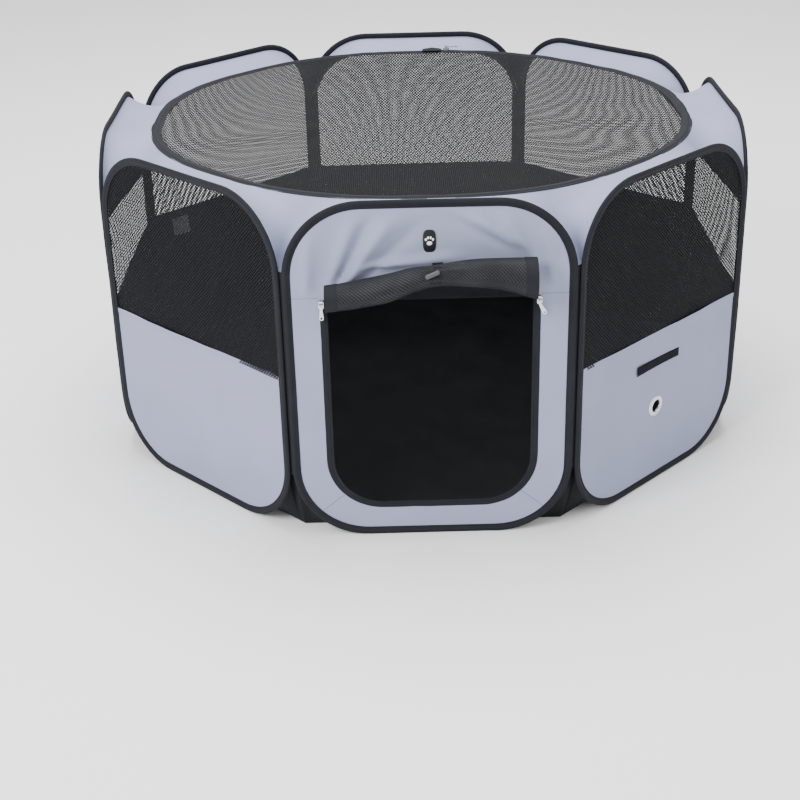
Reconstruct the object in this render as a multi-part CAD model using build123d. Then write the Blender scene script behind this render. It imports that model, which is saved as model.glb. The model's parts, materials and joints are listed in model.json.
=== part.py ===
"""Folding pet playpen: eight sprung fabric walls, a zip-off mesh roof, a floor cloth and a roll-up mesh door.

Millimetres, +Z up. The origin is the middle of the floor, on the ground. The front wall, with the door, faces
-Y, and the walls follow each other anticlockwise seen from above.
"""
from build123d import *
from math import asin, atan2, cos, hypot, radians, sin, sqrt, tan
import os

# Walls
SIDES = ("front", "front_right", "right", "back_right", "back", "back_left", "left", "front_left")
APOTHEM = 620.0            # middle of the pen to the middle plane of a wall
HOOP_HEIGHT = 648.0        # over the binding sleeve
HOOP_CORNER = 138.0        # outer radius of the sleeve at a corner
HOOP_SETBACK = 3.0         # sleeve edge back from the corner of the octagon
SLEEVE_WIDTH = 15.0
SLEEVE_THICK = 8.0
SLEEVE_ROUND = 3.4
WIRE_DIA = 4.0
WIRE_CLEARANCE = 0.25      # all round the wire in its sleeve
CLOTH = 1.2                # coated cloth of the skirts, front, collar and floor
NETTING = 1.0              # mesh cloth of the windows, roof and door
SKIRT_HEIGHT = 320.0       # top of the cloth skirts, where the windows begin
SEAM_GAP = 0.3             # between soft pieces of neighbouring walls

# Roof and floor
RING_INSET = 88.0          # wall's middle plane to the middle line of the roof's zip band
RING_BEND = 82.0           # middle of the pen to the centre of a bend of the zip band, square to a wall
RING_WIDTH = 22.0
RING_THICK = 4.0
RING_DROP = 28.0           # hoop's top to the underside of the zip band
COLLAR_STITCH = 8.0        # stitch line of collar and floor, in from the sleeve's outer edge
TIP_DROP = 14.0            # end of a corner gusset beyond the bend of the sleeve
FLOOR_EDGE = 40.0          # border of the floor cloth that rises to the sleeves
ARC_STEPS = 6              # facets of a gusset round one sleeve corner

# Door
DOOR_HALF = 190.0          # half width, to the outer edge of the zip tape
DOOR_BOTTOM = 57.0
HEAD_CLOTH = 178.0         # door's top to the hoop's top
DOOR_CORNER = 100.0
TAPE_WIDTH = 12.0
TAPE_THICK = 2.0
ROLL_INSET = 10.0          # end of the roll, in from the side of the door
WAIST_RADIUS = 16.0        # rolled door under its strap
WAIST_RISE = 57.0          # its axis there, over the door's top
ROLL_END_RADIUS = 34.0     # the fattest end, on the right
ROLL_SHAPE = (             # share of the half length, axis over the door's top, radius
    (-1.0, 19.0, 21.0),
    (-0.40, 35.0, 24.0),
    (-0.06, WAIST_RISE, WAIST_RADIUS),
    (0.17, WAIST_RISE, WAIST_RADIUS),
    (0.47, 60.0, 22.5),
    (1.0, 47.5, ROLL_END_RADIUS),
)
ROLL_GAP = 4.0             # between the front sleeve's face plane and the fattest end of the roll
STRAP_X = 10.0
STRAP_WIDTH = 20.0
STRAP_THICK = 1.4
STRAP_CLEARANCE = 0.4
TOGGLE_DIA = 8.0
TOGGLE_LENGTH = 26.0
TOGGLE_X = 3.0
TOGGLE_TILT = 22.0         # degrees, across the strap
TOGGLE_RAISE = 25.0        # degrees round the roll, up from its front
TAG_WIDTH = 22.0
TAG_HEIGHT = 40.0
TAG_THICK = 1.2
TAG_DROP = 74.0            # middle of the tag, below the hoop's top

# Zip sliders and pulls
SLIDER_WIDTH = 9.0
SLIDER_LENGTH = 14.0
SLIDER_THICK = 5.0
SLIDER_GAP = 0.3           # slider over its tape
PIN_DIA = 2.0
PIN_CLEARANCE = 0.25
CHEEK = 1.4
EYE_WIDTH = 4.2
EYE_DIA = 5.0
PULL_LENGTH = 27.0
PULL_NECK = 5.0            # straight stretch beside the slider's cheeks
PULL_WIDTH = 8.0
PULL_THICK = 1.6
PULL_HOLE = 4.0
RIGHT_PULL_TILT = 28.0     # degrees, in the plane of the wall
ROOF_SLIDER_X = 74.0
COVER_LENGTH = 46.0
COVER_WIDTH = 24.0
COVER_THICK = 5.5
COVER_GAP = 4.0            # cover flap to the roof slider

# Front right wall: bottle port and hook-and-loop strip
PORT_X = -8.0
PORT_HEIGHT = 162.0
PORT_BORE = 24.4
PORT_RIM = 8.8             # flange beyond the bore
PORT_METAL = 1.6
PORT_CLEARANCE = 0.2
STRIP_LENGTH = 132.0
STRIP_HEIGHT = 20.0
STRIP_THICK = 2.0
STRIP_CENTRE = 256.0

# Worked out from the sizes above
TURN = 360.0 / len(SIDES)
HALF_TURN = tan(radians(TURN / 2))
HOOP_WIDTH = 2 * (APOTHEM * HALF_TURN - HOOP_SETBACK)
INNER_FACE = APOTHEM - SLEEVE_THICK / 2
RING_APOTHEM = APOTHEM - RING_INSET
RING_CORNER = RING_APOTHEM - RING_BEND
RING_HEIGHT = HOOP_HEIGHT - RING_DROP
DOOR_TOP = HOOP_HEIGHT - HEAD_CLOTH
ROLL_HALF = DOOR_HALF - ROLL_INSET
PORT_FLANGE = PORT_BORE + 2 * PORT_RIM
ROLL_OUT = APOTHEM + SLEEVE_THICK / 2 + ROLL_GAP + ROLL_END_RADIUS
WAIST = Location((STRAP_X, -ROLL_OUT, DOOR_TOP + WAIST_RISE))
SLIDER_X = DOOR_HALF - TAPE_WIDTH / 6
WALL = Plane(origin=(0, -APOTHEM, 0), x_dir=(1, 0, 0), z_dir=(0, -1, 0))


def outline(inset):
    """The hoop's rounded outline in the wall's plane, drawn in from the sleeve's outer edge."""
    shape = RectangleRounded(HOOP_WIDTH - 2 * inset, HOOP_HEIGHT - 2 * inset, HOOP_CORNER - inset)
    return Pos(0, HOOP_HEIGHT / 2) * shape


def on_wall(sketch, thick, out=0.0):
    """A flat piece in the front wall's plane, its middle layer moved outwards by `out`."""
    return Pos(0, -out, 0) * extrude(WALL * sketch, amount=thick / 2, both=True)


def turned(shape, side):
    """The front wall's piece, carried round to another wall."""
    return Rot(0, 0, TURN * side) * shape


def block(x0, z0, x1, z1):
    """A rectangle given by two corners."""
    return Pos((x0 + x1) / 2, (z0 + z1) / 2) * Rectangle(x1 - x0, z1 - z0)


def wire_tube(diameter):
    path = (WALL * outline(SLEEVE_WIDTH / 2)).faces()[0].outer_wire()
    return sweep(Plane(path @ 0, z_dir=path % 0) * Circle(diameter / 2), path=path)


def sleeve():
    ring = on_wall(outline(0) - outline(SLEEVE_WIDTH), SLEEVE_THICK)
    rims = [edge for face in ring.faces().filter_by(Axis.Y) for edge in face.edges()]
    return fillet(rims, SLEEVE_ROUND) - wire_tube(WIRE_DIA + 2 * WIRE_CLEARANCE)


def panel_cloth():
    return outline(SLEEVE_WIDTH)


def window():
    return on_wall(panel_cloth() & block(-APOTHEM, SKIRT_HEIGHT, APOTHEM, HOOP_HEIGHT), NETTING)


def skirt(with_port=False):
    cloth = panel_cloth() & block(-APOTHEM, 0, APOTHEM, SKIRT_HEIGHT)
    if with_port:
        cloth = cloth - Pos(PORT_X, PORT_HEIGHT) * Circle(port_barrel() + PORT_CLEARANCE)
    return on_wall(cloth, CLOTH)


def doorway(inset):
    """The door's outline, square at the top and rounded at the bottom."""
    shape = block(-DOOR_HALF + inset, DOOR_BOTTOM + inset, DOOR_HALF - inset, DOOR_TOP)
    return fillet(shape.vertices().sort_by(Axis.Y)[:2], DOOR_CORNER - inset)


def front_cloths():
    """The front wall's four cloths: mitred at the door's bottom corners, seamed level with its top."""
    field = panel_cloth() - doorway(0)
    bend_x = DOOR_HALF - DOOR_CORNER
    bend_z = DOOR_BOTTOM + DOOR_CORNER
    reach = HOOP_WIDTH
    low = Polygon((-bend_x, bend_z), (bend_x, bend_z), (bend_x + reach, bend_z - reach),
                  (-bend_x - reach, bend_z - reach), align=None)
    right = Polygon((bend_x, bend_z), (bend_x + reach, bend_z - reach), (bend_x + reach, DOOR_TOP),
                    (bend_x, DOOR_TOP), align=None)
    return {
        "front_cloth_top": on_wall(field & block(-reach, DOOR_TOP, reach, HOOP_HEIGHT), CLOTH),
        "front_cloth_bottom": on_wall(field & low, CLOTH),
        "front_cloth_right": on_wall(field & right, CLOTH),
        "front_cloth_left": on_wall(field & mirror(right, Plane.YZ), CLOTH),
    }


def closed_sheet(near, far, thick):
    """A closed thin sheet ruled between two rows of points, thickened square to itself on its lower side."""
    last = len(near) - 1

    def lowered(row, i):
        along = row[min(i + 1, last)] - row[max(i - 1, 0)]
        return row[i] + along.cross(far[i] - near[i]).normalized() * thick

    under = [[lowered(row, i) for i in range(last + 1)] for row in (near, far)]
    faces = []

    def patch(a, b, c, d):
        for corners in ((a, c, b), (a, d, c)):
            faces.append(Face(Wire.make_polygon(corners, close=True)))

    for i in range(last):
        patch(near[i], near[i + 1], far[i + 1], far[i])
        patch(under[0][i], under[1][i], under[1][i + 1], under[0][i + 1])
        patch(near[i], under[0][i], under[0][i + 1], near[i + 1])
        patch(far[i], far[i + 1], under[1][i + 1], under[1][i])
    patch(near[0], far[0], under[1][0], under[0][0])
    patch(near[last], under[0][last], under[1][last], far[last])
    return Solid(Shell(faces))


def rounded_octagon(apothem, corner):
    shape = RegularPolygon(apothem, len(SIDES), major_radius=False, rotation=TURN / 2)
    return fillet(shape.vertices(), corner)


def stitch_row(flip, gap):
    """Half of the stitch line on a sleeve's inner face, corner tip first; `flip` turns it to the bottom."""
    reach = INNER_FACE - CLOTH
    bend_x = HOOP_WIDTH / 2 - HOOP_CORNER
    bend_z = HOOP_HEIGHT - HOOP_CORNER
    radius = HOOP_CORNER - COLLAR_STITCH
    points = [(reach * HALF_TURN - gap, bend_z - TIP_DROP)]
    for i in range(ARC_STEPS + 1):
        angle = radians(90.0 * i / ARC_STEPS)
        points.append((bend_x + radius * cos(angle), bend_z + radius * sin(angle)))
    points.append((0.0, HOOP_HEIGHT - COLLAR_STITCH))
    if flip:
        points = [(x, HOOP_HEIGHT - z) for x, z in points]
    return [Vector(x, -reach, z) for x, z in points]


def ring_row(apothem, corner, height):
    """Half of a rounded octagon over one wall, corner first, in as many points as the stitch line."""
    flat = (apothem - corner) * HALF_TURN
    points = []
    for i in range(ARC_STEPS + 2):
        angle = radians(TURN / 2 * (1 - i / (ARC_STEPS + 1)))
        points.append(Vector(flat + corner * sin(angle), corner - apothem - corner * cos(angle), height))
    points[0] = points[0] - Vector(SEAM_GAP, 0, 0)
    points.append(Vector(0, -apothem, height))
    return points


def both_halves(row):
    return row + [Vector(-p.X, p.Y, p.Z) for p in reversed(row[:-1])]


def collar():
    """Cloth from one sleeve's top and corners in to the roof's zip band."""
    outer = both_halves(stitch_row(flip=False, gap=SEAM_GAP))
    out = RING_WIDTH / 2 + CLOTH + SEAM_GAP
    band = both_halves(ring_row(RING_APOTHEM + out, RING_CORNER + out, RING_HEIGHT + RING_THICK / 2))
    return closed_sheet(outer, band, CLOTH)


def floor_sheet():
    """The floor cloth: a flat octagon and a border that rises to each sleeve and its corner gussets."""
    apothem = APOTHEM - FLOOR_EDGE
    flat = RegularPolygon(apothem, len(SIDES), major_radius=False, rotation=TURN / 2)
    middle = extrude(flat, amount=CLOTH)
    stitched = both_halves(stitch_row(flip=True, gap=SEAM_GAP + CLOTH))
    across = apothem / (INNER_FACE - CLOTH)
    inner = [Vector(p.X * across, -apothem, CLOTH) for p in stitched]
    border = closed_sheet(stitched, inner, CLOTH)
    return Compound([middle] + [turned(border, side) for side in range(len(SIDES))])


def zip_ring():
    band = rounded_octagon(RING_APOTHEM + RING_WIDTH / 2, RING_CORNER + RING_WIDTH / 2)
    hole = rounded_octagon(RING_APOTHEM - RING_WIDTH / 2, RING_CORNER - RING_WIDTH / 2)
    return Pos(0, 0, RING_HEIGHT) * extrude(band - hole, amount=RING_THICK)


def roof_mesh():
    sheet = rounded_octagon(RING_APOTHEM - RING_WIDTH / 2, RING_CORNER - RING_WIDTH / 2)
    return Pos(0, 0, RING_HEIGHT + (RING_THICK - NETTING) / 2) * extrude(sheet, amount=NETTING)


def door_roll():
    rings = [Plane(origin=(share * ROLL_HALF, -ROLL_OUT, DOOR_TOP + rise), z_dir=(1, 0, 0)) * Circle(radius)
             for share, rise, radius in ROLL_SHAPE]
    return loft(rings, ruled=True)


def under_roll(x, rise, radius):
    """Where the door's netting, drawn straight from its top seam, meets the underside of the roll."""
    out = ROLL_OUT - APOTHEM - CLOTH
    clear = radius + STRAP_CLEARANCE + STRAP_THICK + SEAM_GAP
    run = sqrt(out ** 2 + rise ** 2 - clear ** 2)
    slope = atan2(rise, out) - asin(clear / hypot(out, rise))
    return Vector(x, -APOTHEM - CLOTH - run * cos(slope), DOOR_TOP + run * sin(slope))


def door_flap():
    """The short unrolled stretch of the door, from its top seam out to the underside of the roll."""
    reach = ROLL_HALF - TAPE_WIDTH / 2
    seam = [Vector(share * reach, -APOTHEM - CLOTH, DOOR_TOP) for share, rise, radius in ROLL_SHAPE]
    meet = [under_roll(share * reach, rise, radius) for share, rise, radius in ROLL_SHAPE]
    return closed_sheet(seam, meet, NETTING)


def strap():
    inner = WAIST_RADIUS + STRAP_CLEARANCE
    band = Circle(inner + STRAP_THICK) - Circle(inner)
    return WAIST * Rot(0, 90, 0) * extrude(band, amount=STRAP_WIDTH / 2, both=True)


def toggle():
    out = WAIST_RADIUS + STRAP_CLEARANCE + STRAP_THICK + TOGGLE_DIA / 2
    bar = Rot(0, 90, 0) * Cylinder(TOGGLE_DIA / 2, TOGGLE_LENGTH)
    bar = fillet(bar.edges().filter_by(GeomType.CIRCLE), TOGGLE_DIA / 2 - 0.6)
    bar = Pos(TOGGLE_X - STRAP_X, -out, 0) * Rot(0, -TOGGLE_TILT, 0) * bar
    return WAIST * Rot(-TOGGLE_RAISE, 0, 0) * bar


def zip_slider():
    """Slider on its tape: local Z points off the tape and local -Y is where the pull hangs."""
    body = Pos(0, 0, SLIDER_GAP + SLIDER_THICK / 2) * Box(SLIDER_WIDTH, SLIDER_LENGTH, SLIDER_THICK)
    body = fillet(body.edges().filter_by(Axis.Z), SLIDER_WIDTH / 3)
    inside = EYE_WIDTH / 2 + PIN_CLEARANCE
    cheek_height = pin_height() + PIN_DIA / 2 + CHEEK / 2 - SLIDER_GAP - SLIDER_THICK
    cheek = Pos(inside + CHEEK / 2, 0, SLIDER_GAP + SLIDER_THICK + cheek_height / 2)
    cheek = cheek * Box(CHEEK, EYE_DIA, cheek_height)
    pin = Pos(0, 0, pin_height()) * Rot(0, 90, 0) * Cylinder(PIN_DIA / 2, 2 * (inside + CHEEK / 2))
    return body + cheek + mirror(cheek, Plane.YZ) + pin


def pin_height():
    return SLIDER_GAP + SLIDER_THICK + EYE_DIA / 2 + PIN_CLEARANCE


def zip_pull(tilt=0.0):
    """Teardrop pull on the slider's pin, hanging along local -Y and swung sideways below its neck."""
    eye = Rot(0, 90, 0) * Cylinder(EYE_DIA / 2, EYE_WIDTH)
    neck = Pos(0, -PULL_NECK / 2) * Rectangle(EYE_WIDTH, PULL_NECK)
    low = -PULL_LENGTH + PULL_NECK + PULL_WIDTH / 2
    drop = Pos(0, low) * Circle(PULL_WIDTH / 2)
    drop = drop + Polygon((-EYE_WIDTH / 2, 0), (EYE_WIDTH / 2, 0), (PULL_WIDTH / 2, low),
                          (-PULL_WIDTH / 2, low), align=None)
    drop = drop - Pos(0, low) * Circle(PULL_HOLE / 2)
    plate = neck + Pos(0, -PULL_NECK) * Rot(0, 0, tilt) * drop
    hole = Rot(0, 90, 0) * Cylinder(PIN_DIA / 2 + PIN_CLEARANCE, EYE_WIDTH)
    pull = eye + extrude(plate, amount=PULL_THICK / 2, both=True) - hole
    return Pos(0, 0, pin_height()) * pull


def door_zip_place(hand):
    """Where a door slider sits at rest; hand is -1 for the left one and 1 for the right one."""
    return Plane(origin=(hand * SLIDER_X, -APOTHEM - TAPE_THICK / 2, DOOR_TOP - SLIDER_LENGTH / 2),
                 x_dir=(1, 0, 0), z_dir=(0, -1, 0))


def roof_zip_place():
    return Plane(origin=(ROOF_SLIDER_X, RING_APOTHEM, RING_HEIGHT + RING_THICK),
                 x_dir=(0, 1, 0), z_dir=(0, 0, 1))


def zip_cover():
    flap = Box(COVER_LENGTH, COVER_WIDTH, COVER_THICK)
    flap = fillet(flap.edges().filter_by(Axis.Z), COVER_WIDTH / 4)
    flap = fillet(flap.faces().sort_by(Axis.Z)[-1].edges(), COVER_THICK / 2)
    left = ROOF_SLIDER_X - SLIDER_LENGTH / 2 - COVER_GAP - COVER_LENGTH / 2
    return Pos(left, RING_APOTHEM, RING_HEIGHT + RING_THICK + SLIDER_GAP + COVER_THICK / 2) * flap


def port_barrel():
    return PORT_BORE / 2 + PORT_METAL


def eyelet():
    """Two-part metal eyelet clenched through the cloth: barrel with its flange outside, washer inside."""
    centre = Pos(PORT_X, PORT_HEIGHT)
    bore = Circle(PORT_BORE / 2)
    face = CLOTH / 2 + PORT_METAL / 2
    flange = on_wall(centre * (Circle(PORT_FLANGE / 2) - bore), PORT_METAL, out=face)
    barrel = on_wall(centre * (Circle(port_barrel()) - bore), CLOTH + 2 * PORT_METAL)
    washer = centre * (Circle(PORT_FLANGE / 2) - Circle(port_barrel() + PORT_CLEARANCE))
    return Compound([turned(flange + barrel, 1), turned(on_wall(washer, PORT_METAL, out=-face), 1)])


def save(name, shape):
    export_step(shape, f"parts/{name}.step")


def save_walls():
    """The pieces that every wall has, and the plain walls' windows and skirts."""
    hoop, tube, netting, cloth, top = wire_tube(WIRE_DIA), sleeve(), window(), skirt(), collar()
    for side, name in enumerate(SIDES):
        save(f"{name}_hoop_wire", turned(hoop, side))
        save(f"{name}_sleeve", turned(tube, side))
        save(f"{name}_collar", turned(top, side))
        if name != "front":
            save(f"{name}_window", turned(netting, side))
            with_port = name == "front_right"
            save(f"{name}_skirt", turned(skirt(with_port=True) if with_port else cloth, side))


def save_front():
    for name, cloth in front_cloths().items():
        save(name, cloth)
    save("door_zip_tape", on_wall(doorway(0) - doorway(TAPE_WIDTH), TAPE_THICK))
    save("door_roll", door_roll())
    save("door_flap", door_flap())
    save("door_strap", strap())
    save("door_toggle", toggle())
    tag = Pos(0, HOOP_HEIGHT - TAG_DROP) * RectangleRounded(TAG_WIDTH, TAG_HEIGHT, TAG_WIDTH / 3)
    save("front_tag", on_wall(tag, TAG_THICK, out=(CLOTH + TAG_THICK) / 2))
    for hand, name, tilt in ((-1, "left", 0.0), (1, "right", RIGHT_PULL_TILT)):
        place = door_zip_place(hand)
        save(f"door_slider_{name}", place * zip_slider())
        save(f"door_pull_{name}", place * zip_pull(tilt))


def save_roof_and_floor():
    save("roof_zip_ring", zip_ring())
    save("roof_mesh", roof_mesh())
    save("roof_zip_cover", zip_cover())
    save("roof_slider", roof_zip_place() * zip_slider())
    save("roof_pull", roof_zip_place() * zip_pull())
    save("floor_sheet", floor_sheet())


def save_bottle_port():
    save("bottle_port_eyelet", eyelet())
    strip = Pos(PORT_X, STRIP_CENTRE) * Rectangle(STRIP_LENGTH, STRIP_HEIGHT)
    save("hook_strip", turned(on_wall(strip, STRIP_THICK, out=(CLOTH + STRIP_THICK) / 2), 1))


os.makedirs("parts", exist_ok=True)
save_walls()
save_front()
save_roof_and_floor()
save_bottle_port()
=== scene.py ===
"""Folding pet playpen: its cloth, netting, bindings and zips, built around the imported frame.

Laid out as an add-on: sizes and colours are scene properties, and each group of pieces has its own operator.
Lengths are in metres. The front wall, with the door, faces -Y.
"""
import json

import bmesh
import bpy
import numpy as np
from bpy.props import FloatProperty, FloatVectorProperty, PointerProperty
from mathutils import Matrix, Vector, noise


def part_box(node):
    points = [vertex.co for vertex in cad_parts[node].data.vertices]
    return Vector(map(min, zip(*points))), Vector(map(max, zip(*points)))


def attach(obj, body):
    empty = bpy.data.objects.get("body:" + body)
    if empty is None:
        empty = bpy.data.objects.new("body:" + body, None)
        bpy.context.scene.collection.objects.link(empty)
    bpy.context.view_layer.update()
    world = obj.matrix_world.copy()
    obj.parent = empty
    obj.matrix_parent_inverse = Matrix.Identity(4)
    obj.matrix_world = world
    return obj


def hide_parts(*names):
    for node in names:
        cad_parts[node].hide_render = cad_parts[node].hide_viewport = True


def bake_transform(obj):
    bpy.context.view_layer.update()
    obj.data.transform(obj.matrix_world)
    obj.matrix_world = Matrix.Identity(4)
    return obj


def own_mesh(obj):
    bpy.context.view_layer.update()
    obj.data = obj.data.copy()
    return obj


bl_info = {
    "name": "Folding pet playpen",
    "version": (1, 0, 0),
    "blender": (4, 5, 0),
    "location": "View3D > Sidebar > Playpen",
    "description": "Builds the cloth, netting and fittings of a folding pet playpen",
    "category": "Add Mesh",
}

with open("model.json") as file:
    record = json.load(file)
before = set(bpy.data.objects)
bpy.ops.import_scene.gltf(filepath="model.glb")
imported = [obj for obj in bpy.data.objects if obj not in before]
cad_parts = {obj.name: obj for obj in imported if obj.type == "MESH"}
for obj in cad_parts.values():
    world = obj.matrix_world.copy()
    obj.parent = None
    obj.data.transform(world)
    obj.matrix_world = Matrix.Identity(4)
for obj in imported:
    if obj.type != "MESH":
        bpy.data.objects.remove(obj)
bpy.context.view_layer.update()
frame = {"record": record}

SIDES = ("front", "front_right", "right", "back_right", "back", "back_left", "left", "front_left")
TURN = np.radians(360 / len(SIDES))
HALF_TURN = np.tan(TURN / 2)
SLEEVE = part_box("front_sleeve")
APOTHEM = -(SLEEVE[0].y + SLEEVE[1].y) / 2
HOOP_HALF = SLEEVE[1].x
HOOP_TOP = SLEEVE[1].z
SKIRT_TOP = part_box("back_skirt")[1].z
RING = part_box("roof_zip_ring")
RING_OUT = RING[1].y
RING_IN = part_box("roof_mesh")[1].y
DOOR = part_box("door_zip_tape")
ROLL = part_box("door_roll")
ROLL_OUT = (ROLL[0].y + ROLL[1].y) / 2
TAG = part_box("front_tag")
PORT = next(m for m in frame["record"]["mounts"] if m["name"] == "bottle_port")
WAIST_RISE = 0.057
# rolled door, from left to right: share of its half length, axis over the door's top, radius
ROLL_SHAPE = ((-1.0, 0.0190, 0.0205), (-0.72, 0.0250, 0.0225), (-0.40, 0.0350, 0.0235), (-0.16, 0.0505, 0.0195),
              (0.03, WAIST_RISE, 0.0150), (0.22, 0.0605, 0.0190), (0.47, 0.0600, 0.0225), (0.72, 0.0560, 0.0260),
              (0.90, 0.0505, 0.0310), (1.0, 0.0475, 0.0335))
STRAP_X = 0.010
FLOOR_REACH = 6.0
UP = np.array([0, 0, 1.0])
# how far the cloths run in under the sleeves
TUCK = 0.004
# distance between stitches, as a share of a stitch
STITCH_STEP = 1.35
# shift of the weave from wall to wall, so that no two walls repeat
WALL_SHIFT = 1.0007
# the view from the front: place, tilt, lean, aim aside, lens and sensor
VIEW_PLACE = (-0.058, -2.9896, 1.453)
VIEW_DOWN, VIEW_ROLL, VIEW_ASIDE = 0.4613, -0.0244, 0.0007
VIEW_LENS, VIEW_SENSOR = 67.0, 36.0
# studio lamps: name, place, size and power
LAMPS = (("key_light", (-2.8, -3.2, 3.2), 2.0, 260),
         ("fill_light", (3.4, -2.6, 2.6), 3.0, 50),
         ("top_light", (0.0, 0.8, 4.2), 3.0, 260))
SKY_STRENGTH = 1.15
# tension folds of the front cloth: foot and head as (along, up), width, height
FOLDS = (((-0.155, 0.492), (-0.045, 0.640), 0.012, 0.0095), ((-0.178, 0.480), (-0.120, 0.635), 0.011, 0.0080),
         ((-0.120, 0.500), (0.000, 0.622), 0.010, -0.0045), ((-0.168, 0.480), (-0.088, 0.640), 0.009, -0.0050),
         ((0.160, 0.560), (0.045, 0.642), 0.013, 0.0085), ((0.180, 0.530), (0.110, 0.640), 0.011, 0.0075),
         ((0.130, 0.560), (0.010, 0.632), 0.009, -0.0040), ((0.170, 0.545), (0.078, 0.642), 0.009, -0.0045),
         ((0.213, 0.480), (0.196, 0.600), 0.011, 0.0045), ((-0.212, 0.480), (-0.205, 0.600), 0.011, 0.0050),
         ((-0.110, 0.530), (0.060, 0.545), 0.008, 0.0085), ((-0.170, 0.490), (-0.100, 0.532), 0.009, 0.0070))
# paw on the tag: along and up from the tag's middle, half width, half height
PAW = ((0.0, -0.0035, 0.0048, 0.0040), (-0.0060, 0.0030, 0.0019, 0.0026), (-0.0022, 0.0062, 0.0019, 0.0027),
       (0.0022, 0.0062, 0.0019, 0.0027), (0.0060, 0.0030, 0.0019, 0.0026))


# ---------------------------------------------------------------- sizes and colours

def length(name, description, default):
    return FloatProperty(name=name, description=description, default=default, min=0, unit="LENGTH", precision=4)


def colour(name, description, default):
    return FloatVectorProperty(name=name, description=description, default=default, size=4, min=0, max=1,
                               subtype="COLOR")


class PlaypenSizes(bpy.types.PropertyGroup):
    """Sizes of the cloth work that the frame's boxes don't hold."""
    hoop_corner: length("Hoop corner", "Outer radius of a sleeve at its corners", 0.138)
    sleeve_width: length("Sleeve width", "Width of the binding round a hoop", 0.015)
    cloth: length("Cloth", "Thickness of the coated cloth", 0.0012)
    ring_corner: length("Zip band corner", "Radius of the roof's zip band at a corner, on its middle line", 0.450)
    door_corner: length("Door corner", "Radius of the door's bottom corners, to the tape's outer edge", 0.100)
    tape_width: length("Zip tape", "Width of the door's zip tape", 0.012)
    strap_radius: length("Strap loop", "Inner radius of the strap round the rolled door", 0.0164)
    roll_end_band: length("Roll end band", "Width of the smooth tape at each end of the rolled door", 0.020)
    net_pitch: length("Net pitch", "Distance between the holes of the netting", 0.0068)
    net_yarn: length("Net yarn", "Half width of the netting's yarn, as a share of its pitch", 0.225)
    door_net_pitch: length("Door net pitch", "Distance between the holes of the door's netting", 0.0060)
    stitch: length("Stitch", "Length of one stitch", 0.0032)
    thread: length("Thread", "Thickness of the sewing thread", 0.0006)
    tooth_pitch: length("Tooth pitch", "Distance between the teeth of the zips", 0.0024)
    port_bore: length("Bottle port", "Radius of the eyelet's hole", 0.0122)
    port_flange: length("Eyelet flange", "Outer radius of the eyelet", 0.0212)


class PlaypenColours(bpy.types.PropertyGroup):
    """Base colours, in linear values."""
    grey: colour("Grey cloth", "Outside of the skirts, front and collar", (0.250, 0.268, 0.386, 1))
    inside: colour("Coating", "Inside of the coated cloth", (0.0040, 0.0046, 0.0058, 1))
    binding: colour("Binding", "Tape round the hoops, door and roof", (0.0085, 0.0095, 0.0125, 1))
    net: colour("Netting", "Yarn of the netting", (0.0045, 0.0050, 0.0062, 1))
    thread: colour("Thread", "Sewing thread on the tapes", (0.022, 0.024, 0.029, 1))
    metal: colour("Nickel", "Sliders, pulls and eyelet", (0.66, 0.66, 0.68, 1))
    toggle: colour("Toggle", "Moulded toggle", (0.055, 0.058, 0.066, 1))
    print: colour("Print", "Pale print on the tag and label", (0.75, 0.76, 0.78, 1))
    ground: colour("Floor", "Pale floor that the pen stands on", (0.86, 0.86, 0.865, 1))


# ---------------------------------------------------------------- materials

class Field:
    """A value in a material's nodes, so that shader maths reads as arithmetic."""

    def __init__(self, finish, socket):
        self.finish = finish
        self.socket = socket

    def math(self, operation, *others):
        inputs = {i: value for i, value in enumerate((self, *others))}
        return self.finish.node("ShaderNodeMath", {"operation": operation}, inputs)

    def __add__(self, other):
        return self.math("ADD", other)

    __radd__ = __add__

    def __mul__(self, other):
        return self.math("MULTIPLY", other)

    __rmul__ = __mul__

    def __sub__(self, other):
        return self.math("SUBTRACT", other)

    def __rsub__(self, other):
        return self * -1 + other

    def __truediv__(self, other):
        return self.math("DIVIDE", other)

    def wave(self):
        return self.math("SINE")

    def share(self):
        return self.math("FRACT")

    def size(self):
        return self.math("ABSOLUTE")

    def least(self, other):
        return self.math("MINIMUM", other)

    def most(self, other):
        return self.math("MAXIMUM", other)

    def ramp(self, low, high):
        settings = {"interpolation_type": "SMOOTHSTEP"}
        return self.finish.node("ShaderNodeMapRange", settings, {"Value": self, "From Min": low, "From Max": high})


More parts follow.
